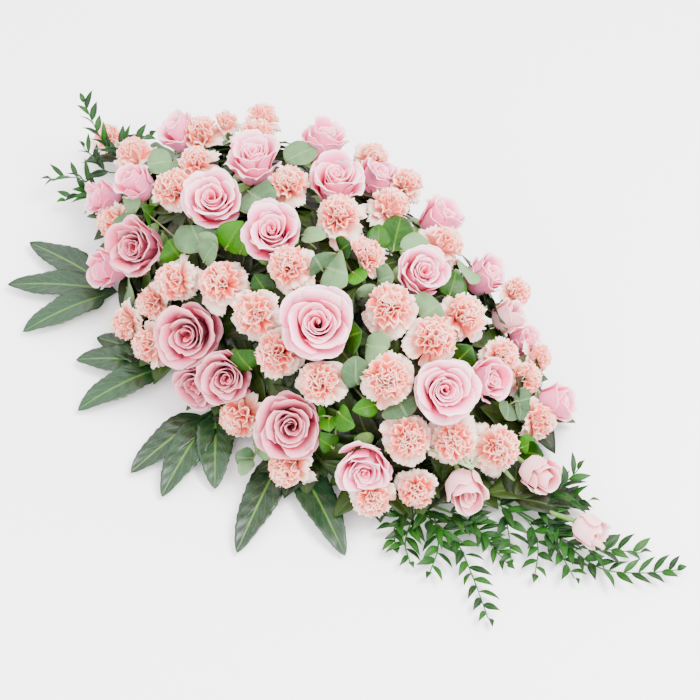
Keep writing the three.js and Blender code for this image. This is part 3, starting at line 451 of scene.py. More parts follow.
# Roses. Large-flowered garden roses in dusky pink, each on its own cut cane pushed into the foam.
# Petals unwind in a spiral from a tight heart; the outer ones are flared and their rims rolled back.
class Build:
    """Points, faces and the numbers that points carry, gathered for one piece."""

    labels = ("rim", "across", "layer", "tone", "face")

    def __init__(self):
        self.points = []
        self.faces = []
        self.measures = []
        self.count = 0

    def add(self, points, faces, measures):
        """Adds points, their faces and the labelled measures at each point."""
        self.points.append(points.reshape(-1, 3))
        self.faces.append(faces.reshape(-1, 4) + self.count)
        self.measures.append(measures.reshape(-1, 5))
        self.count += self.points[-1].shape[0]

    def sheet(self, grid, measures, thickness):
        """A thin sheet over a grid of points, with two faces and a closed edge."""
        rows, columns = grid.shape[:2]
        along = np.gradient(grid, axis=0)
        beside = np.gradient(grid, axis=1)
        normal = np.cross(beside, along)
        normal /= np.maximum(np.linalg.norm(normal, axis=-1, keepdims=True), 1e-9)
        thick = np.broadcast_to(thickness, (rows, columns))[..., None] / 2
        both = np.concatenate([(grid + normal * way * thick).reshape(-1, 3) for way in (1, -1)])
        number = np.arange(rows * columns).reshape(rows, columns)
        corners = [number[:-1, :-1], number[:-1, 1:], number[1:, 1:], number[1:, :-1]]
        quads = np.stack(corners, -1).reshape(-1, 4)
        under = quads[:, ::-1] + rows * columns
        edge = np.concatenate([number[0, :], number[1:, -1], number[-1, -2::-1], number[-2:0:-1, 0]])
        ahead = np.roll(edge, -1)
        wall = np.stack([ahead, edge, edge + rows * columns, ahead + rows * columns], -1)
        face = np.repeat([1.0, 0.0], rows * columns)[:, None]
        measures = np.concatenate([measures.reshape(-1, 4)] * 2)
        self.add(both, np.concatenate([quads, under, wall]), np.concatenate([measures, face], 1))

    def tube(self, path, radii, sides=8, tone=0.5):
        """A round stem along a path of points, closed at both ends."""
        path = np.asarray(path, float)
        radii = np.broadcast_to(radii, len(path))
        along = unit(np.gradient(path, axis=0))
        first = unit(np.cross(along, (0.31, 0.17, 1.0)))
        second = np.cross(along, first)
        angle = np.arange(sides) * TURN / sides
        ring = first[:, None] * np.cos(angle)[:, None] + second[:, None] * np.sin(angle)[:, None]
        skin = (path[:, None] + ring * radii[:, None, None]).reshape(-1, 3)
        bulge = 0.6
        caps = [path[:1] - along[:1] * radii[0] * bulge, path[-1:] + along[-1:] * radii[-1] * bulge]
        number = np.arange(len(path) * sides).reshape(len(path), sides)
        beside = np.roll(number, -1, axis=1)
        walls = np.stack([number[:-1], beside[:-1], beside[1:], number[1:]], -1).reshape(-1, 4)
        one = np.arange(0, sides, 2)
        two, three = one + 1, (one + 2) % sides
        foot, tip = [np.full(len(one), len(skin) + k) for k in (0, 1)]
        low = np.stack([number[0][three], number[0][two], number[0][one], foot], -1)
        high = np.stack([number[-1][one], number[-1][two], number[-1][three], tip], -1)
        points = np.concatenate([skin, *caps])
        share = np.concatenate([np.repeat(np.linspace(0, 1, len(path)), sides), [0.0, 1.0]])
        around = np.concatenate([np.tile(np.cos(angle), len(path)), [0.0, 0.0]])
        level = np.full(len(points), tone)
        measures = np.stack([share, around, level, level, level], -1)
        self.add(points, np.concatenate([walls, low, high]), measures)

    def piece(self, name, material, slot, nodes):
        """The finished object, riding on the body of the part."""
        points = np.concatenate(self.points) * MM
        faces = np.concatenate(self.faces)
        mesh = bpy.data.meshes.new(name)
        mesh.from_pydata(points.tolist(), [], faces.tolist())
        mesh.shade_smooth()
        measures = np.concatenate(self.measures).astype(np.float32)
        for k, label in enumerate(self.labels):
            attribute = mesh.attributes.new(label, "FLOAT", "POINT")
            attribute.data.foreach_set("value", np.ascontiguousarray(measures[:, k]))
        mesh.materials.append(material)
        made = bpy.data.objects.new(name, mesh)
        bpy.context.scene.collection.objects.link(made)
        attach(made, "root")
        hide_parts(*nodes)
        return made


def measured(rim, across, layer, tone):
    """The first four measures of each point of a grid; a sheet adds its face."""
    shape = np.broadcast(rim, across).shape
    return np.stack([np.broadcast_to(v, shape) for v in (rim, across, layer, tone)], -1)


def petal_finish(name, deep, middle, pale, back, streaks=9.0, fading=0.18):
    """A soft petal, finely veined: painted shade deep in the folds, and painted light paler to its rim and
    in the outer rows.
    """
    finish = Finish(name)
    rim = finish.measure("rim")
    across = finish.measure("across")
    layer = finish.measure("layer")
    tone = finish.measure("tone")
    outside = finish.measure("face")
    veins = finish.grain(finish.vector(across * streaks, rim * 2.5, tone * 40.0), 1.0, 3.0)
    cloud = finish.grain(finish.place(), 45.0, 3.0)
    # Painted shade: the deep colour at the petal's foot and in the inner rows gives way towards the rim and
    # the outer rows
    clear_of_painted_shade = (rim + 2.2 * fading * layer + 0.12 * (cloud - 0.5)).between(0.76, 1.24)
    inner = finish.blend(clear_of_painted_shade, deep, middle)
    # Painted light: the pale colour on the rims, reaching further down the outer rows
    edge = (rim + fading * layer + 0.1 * (veins - 0.5)).between(0.88, 1.15)
    with_painted_rim_light = finish.blend(edge, inner, pale)
    worn = (rim + 0.3 * (veins - 0.5)).between(0.2, 0.9)
    backed = finish.blend(worn, back, middle)
    faced = finish.blend(outside * (1 - rim.between(0.82, 1.0)), with_painted_rim_light, backed)
    veined = finish.blend(veins.between(0.5, 0.85) * 0.18 + 0.14 * (1 - tone), faced, middle)
    finish.surface(
        {
            "Base Color": veined,
            "Roughness": 0.5 + 0.2 * veins,
            "Specular IOR Level": 0.3,
            "Sheen Weight": 0.12,
            "Sheen Roughness": 0.5,
            "Subsurface Weight": 0.5,
            "Subsurface Radius": (1.0, 0.35, 0.4),
            "Subsurface Scale": 0.009,
        },
        veins, 0.22, 0.0005,
    )
    return finish.material


# In each petal finish the first colour is painted shade in the folds and heart, and the third is painted
# light on the rims
rose_pink = petal_finish("rose_petal", (250, 30, 104), (253, 124, 168), (255, 205, 209), (243, 120, 160))
# Painted shade: a darker copy of the rose petal finish, for the roses that stand in shade on the mound
rose_in_painted_shade = petal_finish("rose_petal_dusky", (190, 16, 62), (190, 62, 96), (232, 158, 164), (178, 60, 96))
rose_blush = petal_finish(
    "rose_petal_blush", (246, 92, 122), (254, 172, 180), (255, 214, 205), (253, 176, 178),
)


def green_finish(name, deep, fresh, shine):
    """Green stems and calyces, streaked along their length."""
    finish = Finish(name)
    lengthwise = finish.vector(finish.measure("across") * 6.0, finish.measure("rim") * 5.0, 0.0)
    streak = finish.grain(lengthwise, 2.0, 3.0)
    cloud = finish.grain(finish.place(), 90.0, 2.0)
    colour = finish.blend((0.6 * streak + 0.4 * cloud).between(0.3, 0.7), deep, fresh)
    finish.surface(
        {"Base Color": colour, "Roughness": shine + 0.2 * streak, "Specular IOR Level": 0.4}, streak,
    )
    return finish.material


cane_green = green_finish("cane_green", (58, 96, 40), (110, 148, 70), 0.42)
TAIL_ROSE_BENDS = [(338, 6, 18), (252, 6, 47)]
# The roses that get the darker copy of the petal finish, as painted shade
ROSES_IN_PAINTED_SHADE = (3, 19, 20, 21, 22)
BUD_OPENNESS = 0.3
BUD_PETALS = 14
BLOOM_PETALS = 26
BLOOM_ROOM = 1.05
BLOOM_FOOT = 0.46
ROSE_STEM = 5
ROOT_PULL = np.array([0.64, 0.18, -0.06])
ROOT_HEIGHT = 68
PETAL_ROWS = np.array([0, 0.17, 0.34, 0.5, 0.64, 0.75, 0.84, 0.91, 0.96, 1.0])
PETAL_COLUMNS = np.linspace(-1, 1, 13)
KNEE = 0.34
GOLDEN = TURN * 0.381966

# Sizes of a petal at four steps from the heart to the outermost: in a bud, then in an open bloom
ROSE_STEPS = (0, 0.5, 0.75, 1)
CUP_WIDTH = (0.06, 0.38, 0.58, 0.74), (0.05, 0.31, 0.43, 0.54)
PETAL_TOP = (0.38, 0.43, 0.42, 0.34), (0.4, 0.43, 0.36, 0.14)
PETAL_LEAN = (-4, -9, -8, -4), (0, 3, 13, 30)
RIM_CURL = (10, 20, 36, 54), (14, 30, 78, 112)
PETAL_SPAN = (2.5, 1.7, 1.2, 1.0), (2.4, 1.35, 1.0, 0.8)


def foam_root(p):
    """Where a stem that serves a point ends in the foam."""
    return p * ROOT_PULL + np.array([0.0, 0.0, ROOT_HEIGHT])


def round_axis(radius, height, angle):
    """Points as side, axis and other side, at a radius from a bloom's axis and a height along it."""
    parts = np.broadcast_arrays(radius * np.sin(angle), height, radius * np.cos(angle))
    return np.stack(parts, -1)


def by_layer(sizes, layer, openness):
    """A petal's size for its place from heart to outermost, and for how open the bloom is."""
    bud, bloom = [np.interp(layer, ROSE_STEPS, steps) for steps in sizes]
    return lerp(bud, bloom, openness)


def rose_petal(layer, openness, tall, reach, turn, chance):
    """One petal as a grid of side, axis, other side: a cup that stands, then rolls out at its rim."""
    cup = reach * by_layer(CUP_WIDTH, layer, openness)
    low = -BLOOM_FOOT * tall
    knee = low + 0.5 * cup + 0.04 * tall
    top = tall * by_layer(PETAL_TOP, layer, openness)
    top = top + tall * lerp(0.04, 0.09, openness) * (chance() - 0.5)
    lean = math.radians(by_layer(PETAL_LEAN, layer, openness) + 7 * (chance() - 0.5))
    curl = math.radians(by_layer(RIM_CURL, layer, openness) + 26 * (chance() - 0.5))

    # Its line from the knee to the rim, as a share of its length, curls more and more outward
    q = np.linspace(0, 1, 60)
    slope = lean + (curl - lean) * np.clip((q - 0.5) / 0.5, 0, 1) ** 1.6
    out, rise = [np.append(0, np.cumsum(way(slope[1:]))) / 59 for way in (np.sin, np.cos)]
    guard = openness * smooth((layer - 0.55) / 0.25)
    standing = (top - knee) / rise.max()
    spread = (reach * (0.82 + 0.24 * chance()) - cup) / out.max()
    length = lerp(standing, spread, guard)

    # Its rim comes to a soft point and is nicked; below the knee it is a bowl
    u = PETAL_COLUMNS[None, :]
    rows = PETAL_ROWS[:, None]
    point = (0.03 + 0.05 * chance()) * np.maximum(0, 1 - np.abs(u - 0.3 * (chance() - 0.5)) / 0.4) * layer
    nicks = (0.05 + 0.06 * layer) * (several(chance, PETAL_COLUMNS.size) - 0.5)
    v = rows * (1 - 0.2 * np.abs(u) ** 3) * (1 + point) * (1 + nicks * rows ** 8)
    bent = np.clip(v / KNEE, 0, 1) * TURN / 4
    bowl = low + (knee - low) * (1 - np.cos(bent))
    q_here = np.clip((v - KNEE) / (1 - KNEE), 0, 1.06)
    radius = np.where(v < KNEE, 1 + (cup - 1) * np.sin(bent), cup + length * np.interp(q_here, q, out))
    height = np.where(v < KNEE, bowl, knee + length * np.interp(q_here, q, rise))

    # One side tucks under the next petal; the blade waves, creases and frills
    tuck = lerp(0.34, 0.08, layer ** 0.5)
    wave = 0.05 + 0.03 * layer
    phase = TURN * chance()
    crease = (0.16 * chance() - 0.04) * (1 - layer)
    crease = crease * np.maximum(0, 1 - np.abs(u + 0.5 - chance()) * 1.8) * smooth(v)
    radius = radius * (1 + tuck * u * smooth(v) + wave * np.sin(3.2 * u + phase) * v + crease)
    radius = radius + reach * 0.1 * layer * np.abs(u) ** 4 * q_here ** 2
    frill = wave * 0.8 * np.sin(4.3 * u + 2 * phase) * v ** 3
    frill = frill + 0.05 * layer * np.sin(10.5 * u + 3 * phase) * v ** 7
    height = height + tall * (frill - 0.05 * layer * u ** 4 * v ** 2)
    half = by_layer(PETAL_SPAN, layer, openness) * (1 + 0.16 * (chance() - 0.5))
    angle = turn + u * half * (0.62 + 0.38 * smooth(v / 0.6)) + 0.3 * (chance() - 0.5)
    stray = reach * 0.1 * (1 - layer) * (several(chance, 2) - 0.5) * min(layer * 6, 1)
    grid = round_axis(radius, height, angle) + np.array([stray[0], 0.0, stray[1]]) * v[..., None]
    outermost = reach * lerp(1.06, 1.17, openness)
    far = np.linalg.norm(grid, axis=-1, keepdims=True) / outermost
    return grid / (1 + far ** 8) ** (1 / 8), v


def curved(points, steps, even=True):
    """A smooth path through points; uneven, it doesn't overshoot where they lie close together."""
    points = np.array(points, float)
    knots = np.concatenate([[2 * points[0] - points[1]], points, [2 * points[-1] - points[-2]]])
    path = []
    for a, b, c, d in zip(knots, knots[1:], knots[2:], knots[3:]):
        spans = (b - a, c - b, d - c)
        first, second, third = [1 if even else math.sqrt(np.linalg.norm(span)) for span in spans]
        leave = ((b - a) / first - (c - a) / (first + second) + (c - b) / second) * second
        arrive = ((c - b) / second - (d - b) / (second + third) + (d - c) / third) * second
        for t in np.arange(steps) / steps:
            bend = (2 * t ** 3 - 3 * t ** 2 + 1) * b + (t ** 3 - 2 * t ** 2 + t) * leave
            path.append(bend + (3 * t ** 2 - 2 * t ** 3) * c + (t ** 3 - t ** 2) * arrive)
    path.append(points[-1])
    return np.array(path)


def sepals(build, cell, tall, roll, raised):
    """The green urn under the petals and its five pointed sepals."""
    reach = cell.reach
    low = -BLOOM_FOOT * tall
    rows = np.array([(0.1, -0.1), (0.2, -0.02), (0.24, 0.06), (0.2, 0.12)])
    angle = np.linspace(0, TURN, 13)[None, :]
    grid = round_axis(rows[:, :1] * reach, low + rows[:, 1:] * reach, angle)
    build.sheet(cell.placed(grid, roll), measured(rows[:, 1:], angle, 0.5, 0.5), 0.8)
    v = np.linspace(0, 1, 7)[:, None]
    u = np.linspace(-1, 1, 5)[None, :]
    for k in range(5):
        width = 0.17 * reach * np.sin(np.pi * np.clip(v * 0.9 + 0.12, 0, 1)) ** 0.8 * (1 - 0.35 * v) + 0.3
        swing = k * TURN / 5 + u * width / (0.3 * reach)
        out = reach * (0.2 + lerp(0.62, 0.42, raised) * np.sin(v * lerp(1.9, 1.2, raised)))
        up = low + reach * lerp(-0.28, 0.62, raised) * v + 0.05 * reach * np.sin(3 * v)
        grid = round_axis(out, up, swing)
        build.sheet(cell.placed(grid, roll), measured(v, u, 0.7, 0.3 + 0.1 * k), 0.6)


LEAF_GRID = (np.linspace(0, 1, 13)[:, None], np.linspace(-1, 1, 9)[None, :])
SMALL_GRID = (np.linspace(0, 1, 9)[:, None], np.linspace(-1, 1, 5)[None, :])
UPWARD = np.array([0.0, 0.0, 1.0])
STEM_LEAVES = 5
STEM_LEAF_DEPTH = 36
STEM_LEAF_LENGTH = 58
STEM_LEAF_WIDTH = 30
LOWEST_LEAF = HAND_HEIGHT + 8
LOW_BLOOM = 82
LOW_LEAVES = 3
LOW_LEAF_KNOT = 34, 26
LOW_LEAF_LENGTH = 46


def leaf_finish(name, deep, fresh, vein, edge, gloss, veins, slant, marked=0.4, polish=0.45):
    """A leaf blade, mottled, with a pale midrib and so many slanting side veins; marked shows them."""
    finish = Finish(name)
    along = finish.measure("rim")
    side = finish.measure("across").size()
    tone = finish.measure("tone")
    cloud = finish.grain(finish.place(), 60.0, 3.0)
    mottle = finish.grain(finish.place(), 320.0, 2.0)
    body = finish.blend((0.45 * cloud + 0.55 * tone).between(0.2, 0.8), deep, fresh)
    spotted = finish.blend(mottle.between(0.5, 0.8) * marked * 0.25, body, vein)
    midrib = 1 - side.between(0.02, 0.1)
    ribs = ((along * veins - side * slant) * TURN).sine().between(0.86, 1.0) * (1 - side.between(0.7, 1.0))
    lined = finish.blend(ribs * marked * 0.2, spotted, vein)
    ribbed = finish.blend(midrib * marked, lined, vein)
    rimmed = finish.blend((side + 0.1 * cloud).between(0.95, 1.06) * 0.6, ribbed, edge)
    relief = 0.35 * cloud - 0.5 * midrib - 0.3 * ribs
    finish.surface(
        {
            "Base Color": rimmed,
            "Roughness": gloss + 0.15 * cloud + 0.1 * midrib,
            "Specular IOR Level": polish,
            "Subsurface Weight": 0.06,
            "Subsurface Scale": 0.002,
        },
        relief, 0.5, 0.0008,
    )
    return finish.material


def leaf_blade(base, tip, width, normal, outline, arch, fold, wave, phase, grid=LEAF_GRID):
    """A leaf from base to tip as a grid of points, arched along and folded across."""
    along = tip - base
    across = unit(np.cross(along, normal))
    up = unit(np.cross(across, along))
    t, u = grid
    half = width / 2 * outline(t)
    rise = arch * 4 * t * (1 - t) + np.abs(u) * half * fold
    rise = rise + wave * np.sin(TURN * 1.6 * t + phase) * u ** 2 * outline(t)
    return base + (t + 0 * u)[..., None] * along + (u * half)[..., None] * across + rise[..., None] * up


def pointed(t):
    """The outline of a stem leaf: its half width from base to tip, 1 at its widest."""
    return np.sin(np.pi * t ** 0.82) ** 0.85 * (1 - 0.12 * t) * 1.04 + 0.02


# Painted shade: the leaves under the blooms are real, but their greens are near black, darker than the
# other leaves, for the shade in the gaps
stem_leaf_painted_shade = leaf_finish(
    "stem_leaf", (8, 20, 2), (34, 56, 6), (70, 94, 26), (20, 36, 8),
    gloss=0.4, veins=6.0, slant=1.6, polish=0.2,
)


def stem_leaves(build, cell, chance):
    """The leaves left on a stem under its bloom: they close the mound's gaps, and lie low at its foot."""
    side = unit(np.cross(cell.normal, (0.3, 0.2, 1.0)))
    other = np.cross(cell.normal, side)
    knot = cell.centre - cell.normal * STEM_LEAF_DEPTH
    knot[2] = max(knot[2], LOWEST_LEAF)
    blades = []
    for k in range(STEM_LEAVES):
        angle = (k + 0.6 * chance()) * TURN / STEM_LEAVES
        out = swung(side, other, angle)
        reach = out * STEM_LEAF_LENGTH * (0.8 + 0.4 * chance()) - cell.normal * (8 - 18 * chance())
        drop = LOWEST_LEAF - knot[2]
        if reach[2] < drop:
            reach = reach * max(drop / reach[2], 0.35)
            reach[2] = max(reach[2], drop)
        width = STEM_LEAF_WIDTH * (0.8 + 0.4 * chance())
        blades.append((knot + out * 3, knot + reach, width, cell.normal, 4, TURN * chance(), chance()))
    outward = unit(cell.normal * (1, 1, 0))
    beside = np.cross(UPWARD, outward)
    for k in range(LOW_LEAVES if cell.centre[2] <= LOW_BLOOM else 0):
        angle = (k - 1) * 0.7 + 0.5 * (chance() - 0.5)
        base = cell.centre * (1, 1, 0) - outward * LOW_LEAF_KNOT[0] + UPWARD * LOW_LEAF_KNOT[1]
        tip = base + swung(outward, beside, angle) * (LOW_LEAF_LENGTH + 16 * chance())
        tip[2] = 10 + 8 * chance()
        blades.append((base, tip, STEM_LEAF_WIDTH, UPWARD, 6, TURN * chance(), chance()))
    for base, tip, width, normal, arch, phase, tone in blades:
        blade = leaf_blade(base, tip, width, normal, pointed, arch, 0.2, 1.6, phase, SMALL_GRID)
        build.sheet(blade, measured(*SMALL_GRID, 0.5, tone), 0.5)


for index, cell in enumerate(rose_cells):
    openness = ROSES[index][3]
    tall = 2 * cell.reach * lerp(0.74, 0.7, openness)
    roll = dice(index + 1)() * TURN
    chance = dice(500 + index)
    bloom = Build()
    count = round(lerp(BUD_PETALS, BLOOM_PETALS, openness))
    for k in range(count):
        layer = k / (count - 1)
        grid, v = rose_petal(layer, openness, tall, cell.reach, k * GOLDEN, chance)
        petal = cell.placed(grid, roll, BLOOM_ROOM)
        bloom.sheet(petal, measured(v, PETAL_COLUMNS[None, :], layer, chance()), 0.5)
    name = "rose_%02d" % (index + 1)
    is_bud = openness < BUD_OPENNESS
    petals = rose_blush if is_bud else rose_in_painted_shade if index in ROSES_IN_PAINTED_SHADE else rose_pink
    bloom.piece(name + "_petals", petals, "rose_blush" if is_bud else "rose_pink", [name])
    cane = Build()
    sepals(cane, cell, tall, roll, 1.0 if is_bud else 0.0)
    base = cell.placed(np.array([[0.0, -BLOOM_FOOT * tall, 0.0]]), roll)[0]
    if index == len(ROSES) - 1:
        bends = [np.array(p, float) for p in TAIL_ROSE_BENDS]
        cane.tube(curved([base, *bends, foam_root(bends[-1])], 8), ROSE_STEM / 2, 10)
    else:
        root = foam_root(cell.centre)
        cane.tube([base, lerp(base, root, 0.5), root], ROSE_STEM / 2, 10)
    cane.piece(name + "_cane", cane_green, "stem_green", [name])
    if index < len(ROSES) - 1:
        foliage = Build()
        stem_leaves(foliage, cell, chance)
        foliage.piece(name + "_leaves", stem_leaf_painted_shade, "leaf_broad", [name])


# Spray carnations. Pale salmon heads of frilled petals on branching stems; each petal's broad limb is
# pinked and ruffled, packed in a green calyx tube. The stems of a spray meet and go into the foam.
CARNATION_NODES = [(0, 1), (2, 5), (3,), (4,), (6,), (7,), (8,), (9,), (10,), (11, 12)]
CARNATION_SHIFTS = {1: (-30, 7, 0), 6: (-12, 8, 0)}
CARNATION_STEM = 3.6
HEAD_ROOM = 1.1
HEAD_PETALS = 24
BIG_HEAD = 22
BIG_HEAD_PETALS = 27
TRAY_LENGTH = 470
TRAY_WIDTH = 120
FOAM_TOP = 84
FORK_SHARE = 0.5
FORK_CLEARANCE = 7
FRILL_ROWS = np.array([0, 0.36, 0.6, 0.79, 0.92, 1.0])
FRILL_COLUMNS = np.linspace(-1, 1, 15)
# Painted shade in the first colour, coral in the creases, and painted light in the third, pale on the rims
salmon = petal_finish(
    "carnation_petal", (255, 84, 58), (255, 146, 120), (255, 216, 200), (255, 198, 182),
    streaks=14.0, fading=0.28,
)
calyx_green = green_finish("calyx_green", (92, 128, 84), (150, 176, 120), 0.55)


def fork_of(bases, root):
    """Where the branches of a cut stem part, clear of the foam."""
    bases = np.asarray(bases)
    middle = bases.mean(0)

    def clear(fork):
        for along in (0.25, 0.5, 0.75, 1):
            p = lerp(bases, fork, along)
            away = np.maximum(np.abs(p[:, 0]) - TRAY_LENGTH / 2, np.abs(p[:, 1]) - TRAY_WIDTH / 2)
            if np.maximum(away, p[:, 2] - FOAM_TOP).min() <= FORK_CLEARANCE:
                return False
        return True

    t = FORK_SHARE
    while t > -FORK_SHARE and not clear(lerp(middle, root, t)):
        t -= 0.02
    return lerp(middle, root, t)


def carnation_petal(layer, reach, turn, chance):
    """One petal: a narrow claw out of the calyx and a fan that bends over, ruffled and toothed."""
    guard = smooth((layer - 0.62) / 0.16)
    lean = lerp(lerp(-20, 74, layer / 0.7), lerp(84, 104, layer), guard)
    tilt = math.radians(lean + 18 * (chance() - 0.5))
    out, up = math.sin(tilt), math.cos(tilt)
    stretch = lerp(lerp(0.84, 0.68, layer / 0.7), 0.74, guard) + lerp(0.16, 0.5, guard) * chance()
    foot = np.array([0.03, -0.5])
    knee = np.array([0.08 + 0.2 * out, 0.02 + 0.25 * up])
    end = np.array([out * stretch, -0.12 + 0.92 * up * stretch])
    u = FRILL_COLUMNS[None, :]
    rows = FRILL_ROWS[:, None]
    teeth = np.where(np.arange(u.size) % 2, 0.05, -0.03) * (0.4 + 0.9 * several(chance, u.size))
    v = rows * (1 - lerp(0.15, 0.26, guard) * u ** 2) * (1 + teeth * rows ** 8)

    # The blade's line bends from the claw's foot over the knee to its end, and ruffles across that line
    curve = [(1 - v) ** 2 * foot[n] + 2 * v * (1 - v) * knee[n] + v ** 2 * end[n] for n in (0, 1)]
    slope = [2 * (1 - v) * (knee[n] - foot[n]) + 2 * v * (end[n] - knee[n]) for n in (0, 1)]
    steep = np.hypot(*slope)
    folds = lerp(2.0, 1.2, guard) + 1.2 * chance()
    phase, second = TURN * chance(), TURN * chance()
    ruffle = lerp(0.14, 0.08, guard) * v ** 1.5 * np.sin(np.pi * folds * u + phase)
    ruffle = ruffle + 0.04 * v ** 3 * np.sin(np.pi * 5.4 * u + second) - 0.1 * guard * v ** 4
    radius = curve[0] - ruffle * slope[1] / steep
    height = curve[1] + ruffle * slope[0] / steep
    half = (lerp(0.42, 0.5, guard) + 0.12 * chance()) * v ** 1.1 + 0.02
    twist = turn + 0.5 * (chance() - 0.5)
    across = u * half * (1 - 0.12 * np.cos(np.pi * folds * u + phase) * v ** 2)
    x = radius * math.sin(twist) + across * math.cos(twist)
    z = radius * math.cos(twist) - across * math.sin(twist)
    return np.stack([x, height + 0 * x, z], -1) * reach, v


def carnation_head(petals, greens, cell, seed, fork):
    """A head's petals on their spiral, its toothed calyx tube, and its branch down to the fork."""
    roll = dice(seed)() * TURN
    chance = dice(seed + 600)
    reach = cell.reach
    shade = chance()
    count = BIG_HEAD_PETALS if reach > BIG_HEAD else HEAD_PETALS
    for k in range(count):
        layer = (k + 0.3) / count
        guard = smooth((layer - 0.5) / 0.28)
        grid, v = carnation_petal(layer, reach, k * GOLDEN, chance)
        tone = 0.5 * shade + 0.5 * chance()
        petal = cell.placed(grid, roll, HEAD_ROOM)
        petals.sheet(petal, measured(v, FRILL_COLUMNS[None, :], 0.15 + 0.85 * guard, tone), 0.4)
    rows = [(0.1, -1.02), (0.15, -0.95), (0.19, -0.75), (0.22, -0.52), (0.25, -0.42), (0.23, -0.36)]
    rows = np.array(rows)
    angle = np.linspace(0, TURN, 16)[None, :]
    teeth = np.where(np.arange(angle.size) % 3, 0, 0.06) * (rows[:, 1:] > -0.45)
    grid = round_axis(rows[:, :1] * reach, (rows[:, 1:] + teeth) * reach, angle)
    greens.sheet(cell.placed(grid, roll), measured(rows[:, 1:] + 1, angle, 0.5, 0.5), 0.7)
    neck = cell.placed(np.array([[0, -0.6, 0], [0, -0.98, 0]]) * reach, roll)
    path = curved([neck[0], neck[1], fork], 5)
    greens.tube(path, np.linspace(0.12 * reach, CARNATION_STEM * 0.42, len(path)))


for index, stems in enumerate(CARNATION_NODES):
    name = "carnation_spray_%02d" % (index + 1)
    petals, greens, foliage = Build(), Build(), Build()
    chance = dice(400 + index)
    means = [np.mean([cell.centre for cell in carnation_cells[k]], axis=0) for k in stems]
    root = foam_root(np.mean(means, axis=0)) + CARNATION_SHIFTS.get(index, (0, 0, 0))
    for k in stems:
        cells = carnation_cells[k]
        bases = [cell.placed(np.array([[0, -0.5 * cell.reach, 0]]), 0)[0] for cell in cells]
        fork = fork_of(bases, root)
        for n, cell in enumerate(cells):
            carnation_head(petals, greens, cell, 300 + k * 10 + n, fork)
            stem_leaves(foliage, cell, chance)
        along = np.array([0, 0.06, 0.12, 0.5, 1])[:, None]
        swelling = np.array([1, 1.35, 1, 1, 1])
        greens.tube(lerp(fork, root, along), swelling * CARNATION_STEM / 2)
    petals.piece(name + "_heads", salmon, "carnation_salmon", [name])
    greens.piece(name + "_stems", calyx_green, "stem_green", [name])
    foliage.piece(name + "_leaves", stem_leaf_painted_shade, "leaf_broad", [name])


# Broad leaves. Glossy pointed leaves of bright green on woody twigs, tucked in between the blooms;
# one spray lies low along the far side. Each leaf folds a little along its pale midrib.
BROAD_SHIFTS = {1: (-5, -8, 0)}
LEAF_STEM = 3.2
LEAF_SPREAD = 1.25
LEAF_ROOM = 1.55
LEAF_TILT = 0.8
KNOT_DEPTH = 20
FLANK_KNOT = 9
FLANK_LEAVES = 4
FLANK_ROOT = 24
FLANK_FORK = 14
broad_green = leaf_finish(
    "broad_leaf", (4, 38, 0), (44, 100, 0), (96, 140, 4), (34, 78, 0),
    gloss=0.3, veins=7.0, slant=1.6, marked=0.28, polish=0.15,
)
twig_green = green_finish("twig_green", (84, 100, 52), (128, 140, 84), 0.6)


def tapering(t):
    """The outline of a broad leaf, widest near its base."""
    return 2.5 * t ** 0.5 * (1 - t) ** 0.85 + 0.02


def rounded(t):
    """The outline of a eucalyptus leaf."""
    return np.sin(np.pi * np.clip(t * 0.985 + 0.008, 0, 1) ** 0.85) ** 0.52


def cluster_leaf(leaves, twigs, cell, knot, low, high, width, outline, tone, phase):
    """A leaf kept in its cluster's cell, and the stalk that joins it to the knot."""
    normal = cell.normal + view_back * LEAF_TILT
    blade = leaf_blade(low, high, width * LEAF_SPREAD, normal, outline, 3, 0.12, width * 0.05, phase)
    blade = cell.kept(blade, LEAF_ROOM) + cell.centre
    leaves.sheet(blade, measured(*LEAF_GRID, 0.5, tone), 0.5)
    middle = blade.shape[1] // 2
    twigs.tube(curved([knot, blade[0, middle], blade[2, middle]], 4), np.linspace(1.2, 0.7, 9), 6, tone)


def forked(twigs, knots, root, fork):
    """A leafy stem's branches, and the one stem that they share."""
    if len(knots) == 1:
        twigs.tube([knots[0], lerp(knots[0], root, 0.5), root], LEAF_STEM / 2)
        return
    for knot in knots:
        twigs.tube([knot, lerp(knot, fork, 0.5), fork], LEAF_STEM * 0.425)
    twigs.tube([fork, lerp(fork, root, 0.5), root], LEAF_STEM / 2)


def leafy_pieces(name, leaves, twigs, finish):
    slot = "leaf_broad" if finish == broad_green else "leaf_eucalyptus"
    leaves.piece(name + "_leaves", finish, slot, [name])
    twigs.piece(name + "_twigs", twig_green, "stem_green", [name])


def leafy_sprays(kind, stems, groups, outline, shifts, finish, seed):
    """Cut stems whose leaves stand among the blooms, each leaf from its base to its tip in the photo."""
    for k, (clusters, cells) in enumerate(zip(stems, groups)):
        leaves, twigs = Build(), Build()
        roll = dice(seed + k)
        knots = []
        for cell, cluster in zip(cells, clusters):
            knot = cell.kept(cell.normal[None, :] * -KNOT_DEPTH)[0] + cell.centre
            knots.append(knot)
            for n, (base_column, base_row, tip_column, tip_row, width, *unused) in enumerate(cluster):
                low = on_mound(base_column, base_row, BLOOM_INSET + 8 - n * 2) - cell.centre
                high = on_mound(tip_column, tip_row, BLOOM_INSET - 6 - n * 2) - cell.centre
                cluster_leaf(leaves, twigs, cell, knot, low, high, width, outline, roll(), TURN * roll())
        root = foam_root(np.mean(knots, axis=0)) + shifts.get(k, (0, 0, 0))
        forked(twigs, knots, root, fork_of(knots, root))
        leafy_pieces("%s_spray_%d" % (kind, k + 1), leaves, twigs, finish)


